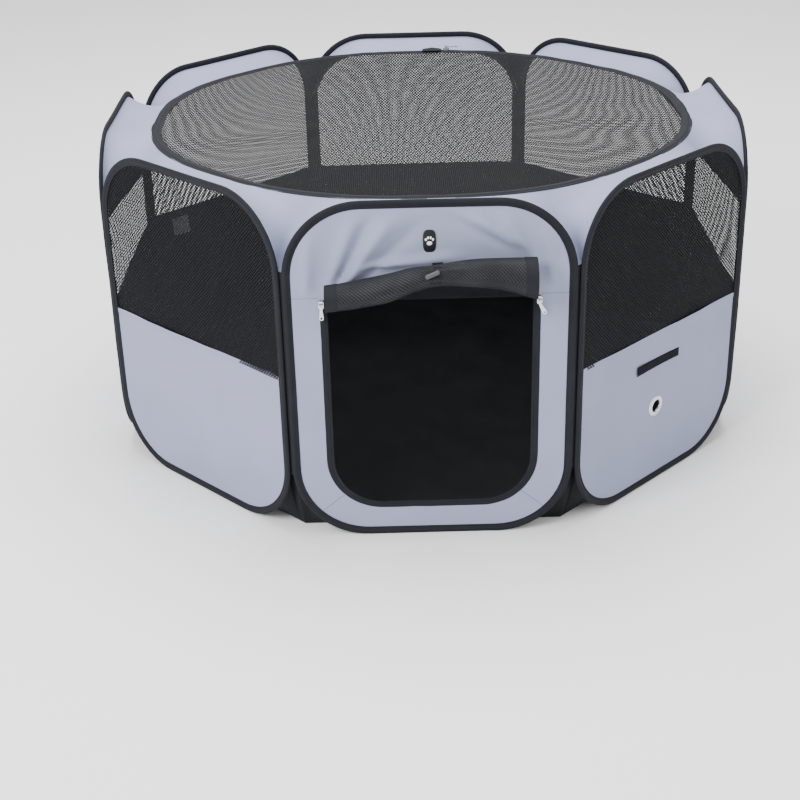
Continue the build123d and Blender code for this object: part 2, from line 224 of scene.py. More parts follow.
class Finish:
    """One procedural material, with its principled surface."""

    def __init__(self, name):
        self.material = bpy.data.materials.new(name)
        self.material.use_nodes = True
        self.nodes = self.material.node_tree.nodes
        self.links = self.material.node_tree.links
        self.surface = self.nodes["Principled BSDF"]

    def put(self, socket, value):
        if isinstance(value, Field):
            self.links.new(value.socket, socket)
        else:
            socket.default_value = value

    def node(self, kind, settings=None, inputs=None, output=0):
        node = self.nodes.new(kind)
        for name, value in (settings or {}).items():
            setattr(node, name, value)
        for name, value in (inputs or {}).items():
            self.put(node.inputs[name], value)
        return Field(self, node.outputs[output])

    def place(self):
        """The cloth's own coordinates: metres along and across it."""
        both = self.node("ShaderNodeUVMap", {"uv_map": "cloth"})
        split = self.node("ShaderNodeSeparateXYZ", inputs={"Vector": both})
        return both, split, Field(self, split.socket.node.outputs[1])

    def solid(self):
        """Coordinates of the piece's own space, in metres."""
        return self.node("ShaderNodeTexCoord", output=3)

    def speckle(self, where, scale, detail=2.0, rough=0.5):
        return self.node("ShaderNodeTexNoise", inputs={"Vector": where, "Scale": scale, "Detail": detail,
                                                       "Roughness": rough})

    def blend(self, amount, one, other):
        """A colour between two, by an amount that varies over the surface."""
        settings = {"data_type": "RGBA"}
        return self.node("ShaderNodeMix", settings, {0: amount, 6: one, 7: other}, output=2)

    def relief(self, height, distance, strength=1.0):
        return self.node("ShaderNodeBump", inputs={"Height": height, "Distance": distance, "Strength": strength})

    def set(self, gloss=0.5, **sockets):
        """Connect the surface's sockets; gloss is how strongly it reflects, and is the same all over."""
        self.put(self.surface.inputs["Specular IOR Level"], gloss)
        for name, value in sockets.items():
            self.put(self.surface.inputs[name.replace("_", " ").title()], value)
        return self.material


def shade(colour_value, factor):
    return tuple(min(c * factor, 1) for c in colour_value[:3]) + (1,)


def plain_weave(finish, along, across, thread):
    """Height of a plain weave: warp and weft threads over and under each other."""
    step = np.pi / thread
    return (along * step).wave() * (across * step).wave()


def coated_cloth(colours):
    finish = Finish("grey_cloth")
    where, along, across = finish.place()
    weave = plain_weave(finish, along, across, 0.0006)
    cloudy = finish.speckle(where, 9.0, 3.0)
    fibre = finish.speckle(where, 900.0, 2.0)
    tone = (cloudy * 0.55 + fibre * 0.45).ramp(0.25, 0.75)
    return finish.set(
        gloss=0.3,
        base_color=finish.blend(tone, shade(colours.grey, 0.94), shade(colours.grey, 1.05)),
        roughness=0.60 + cloudy * 0.16,
        normal=finish.relief(weave * 0.5 + fibre * 0.6, 0.00012, 0.5))


def black_coating(colours):
    finish = Finish("black_coating")
    where, along, across = finish.place()
    weave = plain_weave(finish, along, across, 0.0006)
    cloudy = finish.speckle(where, 14.0, 3.0)
    return finish.set(
        gloss=0.16,
        base_color=finish.blend(cloudy.ramp(0.3, 0.7), shade(colours.inside, 0.8), shade(colours.inside, 1.5)),
        roughness=0.48 + cloudy * 0.2,
        normal=finish.relief(weave + cloudy * 2.0, 0.00012, 0.4))


def tape(colours, name, tint=1.0, rib=0.0011):
    """Ribbed polyester tape: ribs run across it, fine flecks along it."""
    finish = Finish(name)
    where, along, across = finish.place()
    ribs = (along * (2 * np.pi / rib)).wave() * 0.5 + 0.5
    fleck = finish.speckle(where, 700.0, 3.0)
    worn = finish.speckle(where, 22.0, 3.0).ramp(0.35, 0.75)
    tone = (ribs * 0.35 + fleck * 0.4 + worn * 0.25)
    return finish.set(
        gloss=0.16,
        base_color=finish.blend(tone, shade(colours.binding, 0.7 * tint), shade(colours.binding, 1.75 * tint)),
        roughness=0.62 + fleck * 0.22,
        normal=finish.relief(ribs + fleck * 0.7, 0.0002, 0.6))


def diamonds(along, across, pitch):
    """The two slanting ways of a knitted diamond net, each from -0.5 to 0.5 over one hole."""
    return ((along + across) / pitch).share() - 0.5, ((along - across) / pitch).share() - 0.5


def netting(colours, name, pitch, yarn):
    """Open netting: the holes are clear."""
    finish = Finish(name)
    where, along, across = finish.place()
    one, other = diamonds(along, across, pitch)
    hole = 0.5 - one.size().most(other.size())
    fleck = finish.speckle(where, 600.0, 2.0)
    return finish.set(
        gloss=0.1,
        base_color=finish.blend(fleck, shade(colours.net, 0.7), shade(colours.net, 2.0)),
        roughness=0.50 + fleck * 0.3,
        alpha=1 - hole.ramp(yarn - 0.03, yarn + 0.03),
        normal=finish.relief(1 - hole * 2, 0.0005, 0.6))


def rolled_netting(colours, pitch):
    """Many layers of netting on each other: the holes are painted dark as painted shade of the yarn below, and the
    yarn on top is painted lighter as painted light.
    """
    finish = Finish("rolled_netting")
    where, along, across = finish.place()
    one, other = diamonds(along, across, pitch)
    yarn = (one.size().ramp(0.26, 0.36) * 0.8).most(other.size().ramp(0.34, 0.42) * 0.45)
    fleck = finish.speckle(where, 500.0, 2.0)
    cloudy = finish.speckle(where, 22.0, 2.0).ramp(0.3, 0.7)
    # lit: painted light on the yarn on top and painted shade in the holes, blended from 0.4 to 7.5 times the net's
    # own colour
    lit = yarn * (0.45 + cloudy * 0.55) * (0.6 + fleck * 0.8)
    return finish.set(
        gloss=0.2,
        base_color=finish.blend(lit.least(1.0), shade(colours.net, 0.4), shade(colours.net, 7.5)),
        roughness=0.50 + fleck * 0.2,
        normal=finish.relief(yarn, 0.0007, 0.7))


def nickel(colours):
    finish = Finish("nickel")
    where = finish.solid()
    smear = finish.speckle(where, 160.0, 3.0)
    scratch = finish.speckle(where, 2400.0, 2.0)
    return finish.set(
        base_color=finish.blend(smear, shade(colours.metal, 0.90), shade(colours.metal, 1.0)),
        metallic=1.0,
        roughness=0.16 + smear * 0.18 + scratch * 0.06,
        normal=finish.relief(scratch + smear, 0.00004, 0.4))


def spring_steel(colours):
    finish = Finish("spring_steel")
    where = finish.solid()
    drawn = finish.speckle(where, 400.0, 3.0)
    return finish.set(
        base_color=finish.blend(drawn, shade(colours.metal, 0.45), shade(colours.metal, 0.62)),
        metallic=1.0, roughness=0.32 + drawn * 0.2)


def moulded(colours, name, base):
    finish = Finish(name)
    where = finish.solid()
    grain = finish.speckle(where, 1400.0, 3.0)
    cloudy = finish.speckle(where, 90.0, 2.0)
    return finish.set(
        gloss=0.3,
        base_color=finish.blend(cloudy, shade(base, 0.85), shade(base, 1.25)),
        roughness=0.38 + grain * 0.2,
        normal=finish.relief(grain, 0.00005, 0.5))


def fuzzy_loops(colours):
    finish = Finish("hook_and_loop")
    where, along, across = finish.place()
    loops = finish.speckle(where, 1100.0, 4.0, 0.7)
    patches = finish.speckle(where, 60.0, 2.0)
    tone = (loops * 0.75 + patches * 0.25).ramp(0.3, 0.75)
    return finish.set(
        gloss=0.08,
        base_color=finish.blend(tone, shade(colours.binding, 0.35), shade(colours.binding, 2.2)),
        roughness=0.82 + patches * 0.1,
        normal=finish.relief(loops, 0.0009, 0.9))


def satin_label(colours):
    finish = Finish("satin_label")
    where, along, across = finish.place()
    satin = (across * (2 * np.pi / 0.0005)).wave()
    creased = finish.speckle(where, 120.0, 3.0)
    return finish.set(
        base_color=finish.blend(creased, shade(colours.print, 0.32), shade(colours.print, 0.45)),
        roughness=0.42 + creased * 0.2,
        normal=finish.relief(satin * 0.3 + creased, 0.0002, 0.5))


def pale_floor(colours):
    finish = Finish("pale_floor")
    where = finish.solid()
    fine = finish.speckle(where, 30.0, 3.0)
    return finish.set(
        base_color=finish.blend(fine, shade(colours.ground, 0.985), shade(colours.ground, 1.0)),
        roughness=0.75 + fine * 0.1)


def sizes_now():
    return bpy.context.scene.playpen_sizes


MAKERS = {
    "grey": coated_cloth,
    "coating": black_coating,
    "binding": lambda colours: tape(colours, "binding_tape"),
    "zip_tape": lambda colours: tape(colours, "zip_tape", tint=0.7, rib=0.0008),
    "webbing": lambda colours: tape(colours, "strap_webbing", tint=0.8, rib=0.0014),
    "net": lambda colours: netting(colours, "netting", sizes_now().net_pitch, sizes_now().net_yarn),
    "door_net": lambda colours: netting(colours, "door_netting", sizes_now().door_net_pitch, sizes_now().net_yarn),
    "rolled_net": lambda colours: rolled_netting(colours, sizes_now().door_net_pitch),
    "nickel": nickel,
    "steel": spring_steel,
    "toggle": lambda colours: moulded(colours, "toggle_plastic", colours.toggle),
    "teeth": lambda colours: moulded(colours, "zip_teeth", colours.thread),
    "tag": lambda colours: moulded(colours, "tag_rubber", colours.inside),
    "print": lambda colours: moulded(colours, "tag_print", colours.print),
    "thread": lambda colours: tape(colours, "thread", tint=1.6, rib=0.0009),
    "loops": fuzzy_loops,
    "label": satin_label,
    "ground": pale_floor,
}
_made = {}


def finish_of(name):
    if name not in _made:
        _made[name] = MAKERS[name](bpy.context.scene.playpen_colours)
    return _made[name]


# ---------------------------------------------------------------- mesh helpers

def smooth(low, high, x):
    t = np.clip((np.asarray(x, float) - low) / (high - low), 0, 1)
    return t * t * (3 - 2 * t)


def on_wall(side, u, out, z):
    """Points of one wall: u along it, out from its middle plane, z up; arrays or numbers."""
    u, out, z = np.broadcast_arrays(u, out, z)
    angle = TURN * side
    reach = APOTHEM + out
    return np.stack([u * np.cos(angle) + reach * np.sin(angle), u * np.sin(angle) - reach * np.cos(angle), z], -1)


def outward(side):
    return Vector((np.sin(TURN * side), -np.cos(TURN * side), 0))


def along_wall(side):
    return np.array([np.cos(TURN * side), np.sin(TURN * side), 0])


def grid(rows, columns):
    """Both coordinates of a grid, as two arrays."""
    return np.meshgrid(rows, columns, indexing="ij")


def uv_grid(rows, columns):
    return np.stack(grid(rows, columns), -1)


def run_along(line):
    """Distance along a line at each of its points."""
    return np.concatenate([[0], np.cumsum(np.linalg.norm(np.diff(line, axis=0), axis=1))])


def refinish(node, material):
    """Give one of the frame's own pieces a material from here."""
    slots = bpy.data.objects[node].data.materials
    slots.clear()
    slots.append(finish_of(material))


def ripples(x, y, seed, size):
    """Smooth, repeatable unevenness over a grid, about -1 to 1."""
    flat = [noise.noise(Vector((a / size, b / size, seed))) for a, b in zip(np.ravel(x), np.ravel(y))]
    return np.reshape(flat, np.shape(x)) * 1.6


def grid_normals(points):
    along = np.gradient(points, axis=0)
    across = np.gradient(points, axis=1)
    normal = np.cross(along, across)
    return normal / np.maximum(np.linalg.norm(normal, axis=-1, keepdims=True), 1e-12)


def finish_mesh(name, verts, faces, uvs, materials, indices=None):
    mesh = bpy.data.meshes.new(name)
    mesh.from_pydata([tuple(v) for v in verts], [], faces)
    layer = mesh.uv_layers.new(name="cloth")
    layer.data.foreach_set("uv", np.asarray(uvs, np.float32).ravel())
    for material in materials:
        mesh.materials.append(finish_of(material))
    if indices is not None:
        mesh.polygons.foreach_set("material_index", indices)
    mesh.polygons.foreach_set("use_smooth", [True] * len(mesh.polygons))
    mesh.update()
    mesh.set_sharp_from_angle(angle=np.radians(52))
    piece = bpy.data.objects.new(name, mesh)
    bpy.context.scene.collection.objects.link(piece)
    return piece


def quad_faces(rows, columns, wrap_rows, wrap_columns, offset=0, flip=False):
    """Quads of a grid and, for each corner, its place in the UV grid, which doesn't wrap."""
    faces, places = [], []
    for i in range(rows if wrap_rows else rows - 1):
        for j in range(columns if wrap_columns else columns - 1):
            corners = [(i, j), (i + 1, j), (i + 1, j + 1), (i, j + 1)]
            if flip:
                corners.reverse()
            faces.append([offset + (a % rows) * columns + b % columns for a, b in corners])
            places.extend(corners)
    return faces, places


def sheet_piece(name, points, uv, material):
    """An open sheet, one layer thick."""
    rows, columns = points.shape[:2]
    faces, places = quad_faces(rows, columns, False, False)
    return finish_mesh(name, points.reshape(-1, 3), faces, [uv[a, b] for a, b in places], [material])


def cloth_piece(name, points, uv, thick, outer, inner):
    """A closed thin cloth: the points are its outer face, and the inner face has its own finish."""
    rows, columns = points.shape[:2]
    under = points - grid_normals(points) * thick
    count = rows * columns
    faces, places = quad_faces(rows, columns, False, False)
    back, back_places = quad_faces(rows, columns, False, False, count, flip=True)
    rim = [(i, 0) for i in range(rows)] + [(rows - 1, j) for j in range(1, columns)]
    rim += [(i, columns - 1) for i in range(rows - 2, -1, -1)] + [(0, j) for j in range(columns - 2, 0, -1)]
    for a, b in zip(rim, rim[1:] + rim[:1]):
        first, second = a[0] * columns + a[1], b[0] * columns + b[1]
        faces.append([second, first, first + count, second + count])
        places.extend([b, a, a, b])
    index = [0] * len(faces) + [1] * len(back)
    verts = np.concatenate([points.reshape(-1, 3), under.reshape(-1, 3)])
    uvs = [uv[a, b] for a, b in places + back_places]
    return finish_mesh(name, verts, faces + back, uvs, [outer, inner], index)


def tube_piece(name, loops, uv, material, closed_path=True):
    """A closed band: loops are its cross-sections, one row for each station along the path."""
    rows, columns = loops.shape[:2]
    faces, places = quad_faces(rows, columns, closed_path, True)
    if not closed_path:
        faces += [list(range(columns - 1, -1, -1)), [(rows - 1) * columns + j for j in range(columns)]]
        places += [(0, j) for j in range(columns - 1, -1, -1)] + [(rows - 1, j) for j in range(columns)]
    piece = finish_mesh(name, loops.reshape(-1, 3), faces, [uv[a, b] for a, b in places], [material])
    turn_outwards(piece)
    return piece


def turn_outwards(piece):
    work = bmesh.new()
    work.from_mesh(piece.data)
    bmesh.ops.recalc_face_normals(work, faces=work.faces)
    work.to_mesh(piece.data)
    work.free()


def arc(centre, radius, start, end, steps):
    angles = np.radians(np.linspace(start, end, steps))
    return np.stack([centre[0] + radius * np.cos(angles), centre[1] + radius * np.sin(angles)], -1)


def resample(line, step, closed=False):
    """Evenly spaced points on a polyline, their in-plane side normals and distances along it."""
    line = np.asarray(line, float)
    if closed:
        line = np.concatenate([line, line[:1]])
    gaps = np.linalg.norm(np.diff(line, axis=0), axis=1)
    keep = np.concatenate([[True], gaps > 1e-9])
    line = line[keep]
    run = run_along(line)
    count = max(int(round(run[-1] / step)), 2)
    places = np.linspace(0, run[-1], count + 1)
    if closed:
        places = places[:-1]
    points = np.stack([np.interp(places, run, line[:, k]) for k in range(line.shape[1])], -1)
    reach = run[-1] * 1e-3
    if closed:
        after, before = (places + reach) % run[-1], (places - reach) % run[-1]
    else:
        after, before = np.minimum(places + reach, run[-1]), np.maximum(places - reach, 0)
    way = np.stack([np.interp(after, run, line[:, k]) - np.interp(before, run, line[:, k]) for k in (0, 1)], -1)
    way /= np.maximum(np.linalg.norm(way, axis=1, keepdims=True), 1e-12)
    return points, np.stack([way[:, 1], -way[:, 0]], -1), way, places, run[-1]


def hoop_line(inset, corner):
    """The hoop's outline in its wall's plane, anticlockwise from outside, drawn in from the sleeve's edge."""
    half, radius = HOOP_HALF - inset, corner - inset
    bend = HOOP_HALF - corner
    low, high = corner, HOOP_TOP - corner
    return np.concatenate([
        arc((bend, low), radius, -90, 0, 15), arc((bend, high), radius, 0, 90, 15),
        arc((-bend, high), radius, 90, 180, 15), arc((-bend, low), radius, 180, 270, 15)])


def half_width(z, inset, corner):
    """Half width of the hoop's outline at a height."""
    z = np.asarray(z, float)
    bend, radius = HOOP_HALF - corner, corner - inset
    over = np.maximum(np.maximum(z - (HOOP_TOP - corner), corner - z), 0)
    return bend + np.sqrt(np.maximum(radius ** 2 - np.minimum(over, radius) ** 2, 0))


def segments(name, places, ways, sides, ups, size, body, material):
    """Many small rounded bars in one piece: stitches or zip teeth. size is (length, width, height)."""
    long, wide, high = (s / 2 for s in size)
    ring = [(-1, 0, -0.6), (-0.7, 1, 0), (-0.7, 0, 1), (-0.7, -1, 0), (0.7, 1, 0), (0.7, 0, 1), (0.7, -1, 0),
            (1, 0, -0.6)]
    quads = [(1, 4, 5, 2), (2, 5, 6, 3), (0, 1, 2), (0, 2, 3), (4, 7, 5), (5, 7, 6), (0, 7, 4, 1), (3, 6, 7, 0)]
    verts, faces, uvs = [], [], []
    for place, way, side, up in zip(places, ways, sides, ups):
        start = len(verts)
        for a, b, c in ring:
            verts.append(place + way * a * long + side * b * wide + up * c * high)
        for quad in quads:
            faces.append([start + q for q in quad])
            uvs.extend((ring[q][0] * long, ring[q][1] * wide) for q in quad)
    piece = finish_mesh(name, verts, faces, uvs, [material])
    turn_outwards(piece)
    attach(piece, body)
    return piece


def sew(name, line, side, out, sizes, body, facing=1, closed=False):
    """A row of stitches along a line in a wall's plane, lying on the cloth's face."""
    points, normals, ways, _, _ = resample(line, sizes.stitch * STITCH_STEP, closed)
    along = along_wall(side)
    up = np.array(outward(side)) * facing
    turn = [along * w[0] + UP * w[1] for w in ways]
    across = [along * n[0] + UP * n[1] for n in normals]
    places = on_wall(side, points[:, 0], out * facing, points[:, 1])
    return segments(name, places, turn, across, [up] * len(places),
                    (sizes.stitch, sizes.thread, sizes.thread), body, "thread")


def fold_away(piece, side):
    """A soft piece that spans the pen is attached to its own wall's body and gets its own copy of its mesh."""
    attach(piece, SIDES[side])
    anchor = on_wall(side, 0.0, 0.0, HOOP_TOP / 2)
    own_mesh(piece)


def area_of(points):
    """Area of a grid of points."""
    first = np.cross(points[1:, :-1] - points[:-1, :-1], points[:-1, 1:] - points[:-1, :-1])
    second = np.cross(points[1:, :-1] - points[1:, 1:], points[:-1, 1:] - points[1:, 1:])
    return float((np.linalg.norm(first, axis=-1) + np.linalg.norm(second, axis=-1)).sum() / 2)


def declare(points):
    """Work out a sheet's grid as if laid flat: its width, its length and the share of that it covers; nothing is
    kept.
    """
    width = float(np.linalg.norm(np.diff(points, axis=0), axis=-1).sum(0).max())
    long = float(np.linalg.norm(np.diff(points, axis=1), axis=-1).sum(1).max())
    share = min(max(area_of(points) / (width * long), 0.3), 1.0)


# ---------------------------------------------------------------- operators

class PieceOperator:
    """What the piece operators share."""
    bl_options = {"REGISTER", "UNDO"}

    def execute(self, context):
        self.build(context.scene.playpen_sizes, context.scene.playpen_colours)
        return {"FINISHED"}


class PLAYPEN_OT_stage(PieceOperator, bpy.types.Operator):
    """Add the camera, the soft studio lights and the pale floor"""
    bl_idname = "playpen.stage"
    bl_label = "Stage"

    def build(self, sizes, colours):
        scene = bpy.context.scene
        self.add_camera(scene)
        for lamp in LAMPS:
            self.add_lamp(scene, *lamp)
        world = bpy.data.worlds.new("studio")
        world.use_nodes = True
        sky = world.node_tree.nodes["Background"].inputs
        sky["Color"].default_value = (1, 1, 1, 1)
        sky["Strength"].default_value = SKY_STRENGTH
        scene.world = world
        mesh = bpy.data.meshes.new("studio_floor")
        steps = np.linspace(-FLOOR_REACH, FLOOR_REACH, 13)
        verts = [(x, y, 0) for x in steps for y in steps]
        n = len(steps)
        faces = [(i * n + j, (i + 1) * n + j, (i + 1) * n + j + 1, i * n + j + 1)
                 for i in range(n - 1) for j in range(n - 1)]
        mesh.from_pydata(verts, [], faces)
        mesh.materials.append(finish_of("ground"))
        ground = bpy.data.objects.new("studio_floor", mesh)
        scene.collection.objects.link(ground)

    def add_camera(self, scene):
        data = bpy.data.cameras.new("studio_camera")
        data.lens = VIEW_LENS
        data.sensor_width = VIEW_SENSOR
        camera = bpy.data.objects.new("studio_camera", data)
        lean, sway = np.cos(VIEW_ROLL), np.sin(VIEW_ROLL)
        ahead = Vector((VIEW_ASIDE, np.cos(VIEW_DOWN), -np.sin(VIEW_DOWN))).normalized()
        right = ahead.cross(Vector((0, 0, 1))).normalized()
        up = right.cross(ahead)
        right, up = right * lean + up * sway, -right * sway + up * lean
        turn = Matrix((right, up, -ahead)).transposed().to_4x4()
        camera.matrix_world = Matrix.Translation(VIEW_PLACE) @ turn
        scene.collection.objects.link(camera)
        scene.camera = camera

    def add_lamp(self, scene, name, place, size, power):
        data = bpy.data.lights.new(name, "AREA")
        data.size = size
        data.energy = power
        lamp = bpy.data.objects.new(name, data)
        lamp.location = place
        aim = Vector((0, 0, HOOP_TOP / 2)) - Vector(place)
        lamp.rotation_euler = aim.to_track_quat("-Z", "Y").to_euler()
        scene.collection.objects.link(lamp)


class PLAYPEN_OT_sleeves(PieceOperator, bpy.types.Operator):
    """Sew the binding sleeve of each hoop, with its wire bulge, lip and stitching"""
    bl_idname = "playpen.sleeves"
    bl_label = "Hoop sleeves"

    def section(self):
        """Cross-section: (outwards in the wall's plane, off the plane), a bulge round the wire and a flat lip."""
        angles = np.radians(np.linspace(-150, 150, 13))
        bulge = np.stack([0.002 + 0.0055 * np.cos(angles), 0.0040 * np.sin(angles)], -1)
        lip = np.array([(-0.0050, 0.0015), (-0.0074, 0.0014), (-0.0074, -0.0014), (-0.0050, -0.0015)])
        return np.concatenate([bulge, lip])

    def build(self, sizes, colours):
        line = hoop_line(sizes.sleeve_width / 2, sizes.hoop_corner)
        points, normals, _, run, total = resample(line, 0.007, closed=True)
        section = self.section()
        around = np.concatenate([[0], np.cumsum(np.linalg.norm(np.diff(section, axis=0, append=section[:1]),
                                                                axis=1))])
        uv = uv_grid(np.append(run, total), around)
        lip_line = hoop_line(sizes.sleeve_width - 0.0022, sizes.hoop_corner)
        for side, name in enumerate(SIDES):
            pucker = ripples(run, run * 0, side * 7.3, 0.016) * 0.5 + ripples(run, run * 0, side + 50.5, 0.09)
            swell = 1 + 0.055 * pucker
            drift = 0.0005 * ripples(run, run * 0, side + 20.5, 0.12)
            flat = 1 - smooth(0.02, 0.0, points[:, 1]) * 0.5
            u = points[:, :1] + normals[:, :1] * section[:, 0]
            z = points[:, 1:] + normals[:, 1:] * section[:, 0]
            out = section[:, 1] * swell[:, None] + (drift * flat)[:, None]
            piece = tube_piece(f"{name}_hoop_sleeve", on_wall(side, u, out, np.maximum(z, 0.0)), uv, "binding")
            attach(piece, name)
            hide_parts(f"{name}_sleeve")
            sew(f"{name}_sleeve_stitches", lip_line, side, 0.0016, sizes, name, closed=True)
            refinish(f"{name}_hoop_wire", "steel")


class PLAYPEN_OT_windows(PieceOperator, bpy.types.Operator):
    """Stretch the netting windows above the skirts of the plain walls"""
    bl_idname = "playpen.windows"
    bl_label = "Windows"

    def build(self, sizes, colours):
        inset = sizes.sleeve_width - TUCK
        z = np.linspace(SKIRT_TOP - 0.006, HOOP_TOP - inset, 36)
        t = np.linspace(-1, 1, 44)
        u = t[:, None] * half_width(z, inset, sizes.hoop_corner)
        z = np.broadcast_to(z, u.shape)
        edge = smooth(0, 0.05, 1 - np.abs(t[:, None])) * smooth(0, 0.05, HOOP_TOP - z)
        for side, name in enumerate(SIDES[1:], 1):
            out = 0.0022 * edge * ripples(u, z, side * 3.7, 0.16) - 0.0003
            points = on_wall(side, u, out, z)
            piece = sheet_piece(f"{name}_window_net", points, np.stack([u + side * WALL_SHIFT, z], -1), "net")
            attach(piece, name)
            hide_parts(f"{name}_window")
            declare(points)


class PLAYPEN_OT_skirts(PieceOperator, bpy.types.Operator):
    """Cut and hem the grey cloth skirts of the plain walls"""
    bl_idname = "playpen.skirts"
    bl_label = "Skirts"

    def build(self, sizes, colours):
        inset = sizes.sleeve_width - TUCK
        hem = SKIRT_TOP - 0.009
        z = np.concatenate([np.linspace(inset, 0.05, 8)[:-1], np.linspace(0.05, hem, 30)[:-1],
                            np.array([hem, hem + 0.0012, SKIRT_TOP - 0.0015, SKIRT_TOP])])
        t = np.linspace(-1, 1, 46)
        u = t[:, None] * half_width(z, inset, sizes.hoop_corner)
        z = np.broadcast_to(z, u.shape)
        edge = smooth(0, 0.1, 1 - np.abs(t[:, None])) * smooth(inset, 0.08, z)
        raised = 0.0007 * smooth(hem, hem + 0.0012, z)
        for side, name in enumerate(SIDES[1:], 1):
            slack = self.slack(u, z, side)
            if name == "front_right":
                slack = slack * smooth(0.02, 0.07, np.hypot(u - self.port_u(), z - PORT["pos_m"][2]))
            points = on_wall(side, u, 0.0006 + edge * slack + raised, z)
            piece = cloth_piece(f"{name}_skirt_cloth", points, np.stack([u + side * WALL_SHIFT, z], -1),
                                sizes.cloth, "grey", "coating")
            if name == "front_right":
                self.punch(piece, sizes)
            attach(piece, name)
            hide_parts(f"{name}_skirt")
            declare(points)
            seam = np.linspace(-0.9, 0.9, 60) * (HOOP_HALF - sizes.sleeve_width)
            lift = 0.0006 + 0.0007 + self.slack_at(seam, SKIRT_TOP - 0.006, side, sizes, inset)
            self.hem_stitches(name, side, seam, lift, sizes)

    def port_u(self):
        return PORT["pos_m"][0] * np.cos(TURN) + PORT["pos_m"][1] * np.sin(TURN)

    def slack(self, u, z, side):
        """How far the cloth waves out of its wall's plane."""
        return 0.0030 * ripples(u, z, side * 2.9, 0.17) + 0.0008 * ripples(u, z, side + 30.1, 0.05)

    def slack_at(self, u, z, side, sizes, inset):
        t = u / half_width(z, inset, sizes.hoop_corner)
        return self.slack(u, np.full_like(u, z), side) * smooth(0, 0.1, 1 - np.abs(t))

    def hem_stitches(self, name, side, seam, lift, sizes):
        step = sizes.stitch * STITCH_STEP
        places_u = np.arange(seam[0] + step, seam[-1] - step, step)
        out = np.interp(places_u, seam, lift)
        places = on_wall(side, places_u, out + sizes.thread * 0.2, SKIRT_TOP - 0.006)
        count = len(places)
        segments(f"{name}_hem_stitches", places, [along_wall(side)] * count, [UP] * count,
                 [np.array(outward(side))] * count, (sizes.stitch, sizes.thread, sizes.thread), name, "grey")

    def punch(self, piece, sizes):
        """Cut the bottle port's hole through the cloth."""
        centre = Vector(PORT["pos_m"])
        cutter = bpy.data.meshes.new("port_cutter")
        work = bmesh.new()
        bmesh.ops.create_cone(work, cap_ends=True, segments=48, radius1=sizes.port_bore + 0.0016,
                              radius2=sizes.port_bore + 0.0016, depth=0.03)
        turn = outward(1).to_track_quat("Z", "Y").to_matrix().to_4x4()
        work.transform(Matrix.Translation(centre) @ turn)
        work.to_mesh(cutter)
        work.free()
        tool = bpy.data.objects.new("port_cutter", cutter)
        bpy.context.scene.collection.objects.link(tool)
        cut = piece.modifiers.new("port", "BOOLEAN")
        cut.operation = "DIFFERENCE"
        cut.object = tool
        cut.solver = "EXACT"
        bpy.context.view_layer.update()
        ready = piece.evaluated_get(bpy.context.evaluated_depsgraph_get())
        mesh = bpy.data.meshes.new_from_object(ready)
        piece.modifiers.remove(cut)
        piece.data = mesh
        bpy.data.objects.remove(tool)
        bpy.data.meshes.remove(cutter)


def door_bend(sizes):
    """Centre of the door's right bottom corner, as (along, up)."""
    return DOOR[1].x - sizes.door_corner, DOOR[0].z + sizes.door_corner


def door_line(inset, sizes):
    """The door's outline from its top left, down and round to its top right."""
    radius = sizes.door_corner - inset
    bend_u, bend_z = door_bend(sizes)
    return np.concatenate([
        [(-bend_u - radius, DOOR[1].z)], arc((-bend_u, bend_z), radius, 180, 270, 19),
        arc((bend_u, bend_z), radius, 270, 360, 19), [(bend_u + radius, DOOR[1].z)]])


def even(line, count):
    """A line in a number of evenly spaced points."""
    run = run_along(line)
    places = np.linspace(0, run[-1], count)
    return np.stack([np.interp(places, run, line[:, k]) for k in (0, 1)], -1)


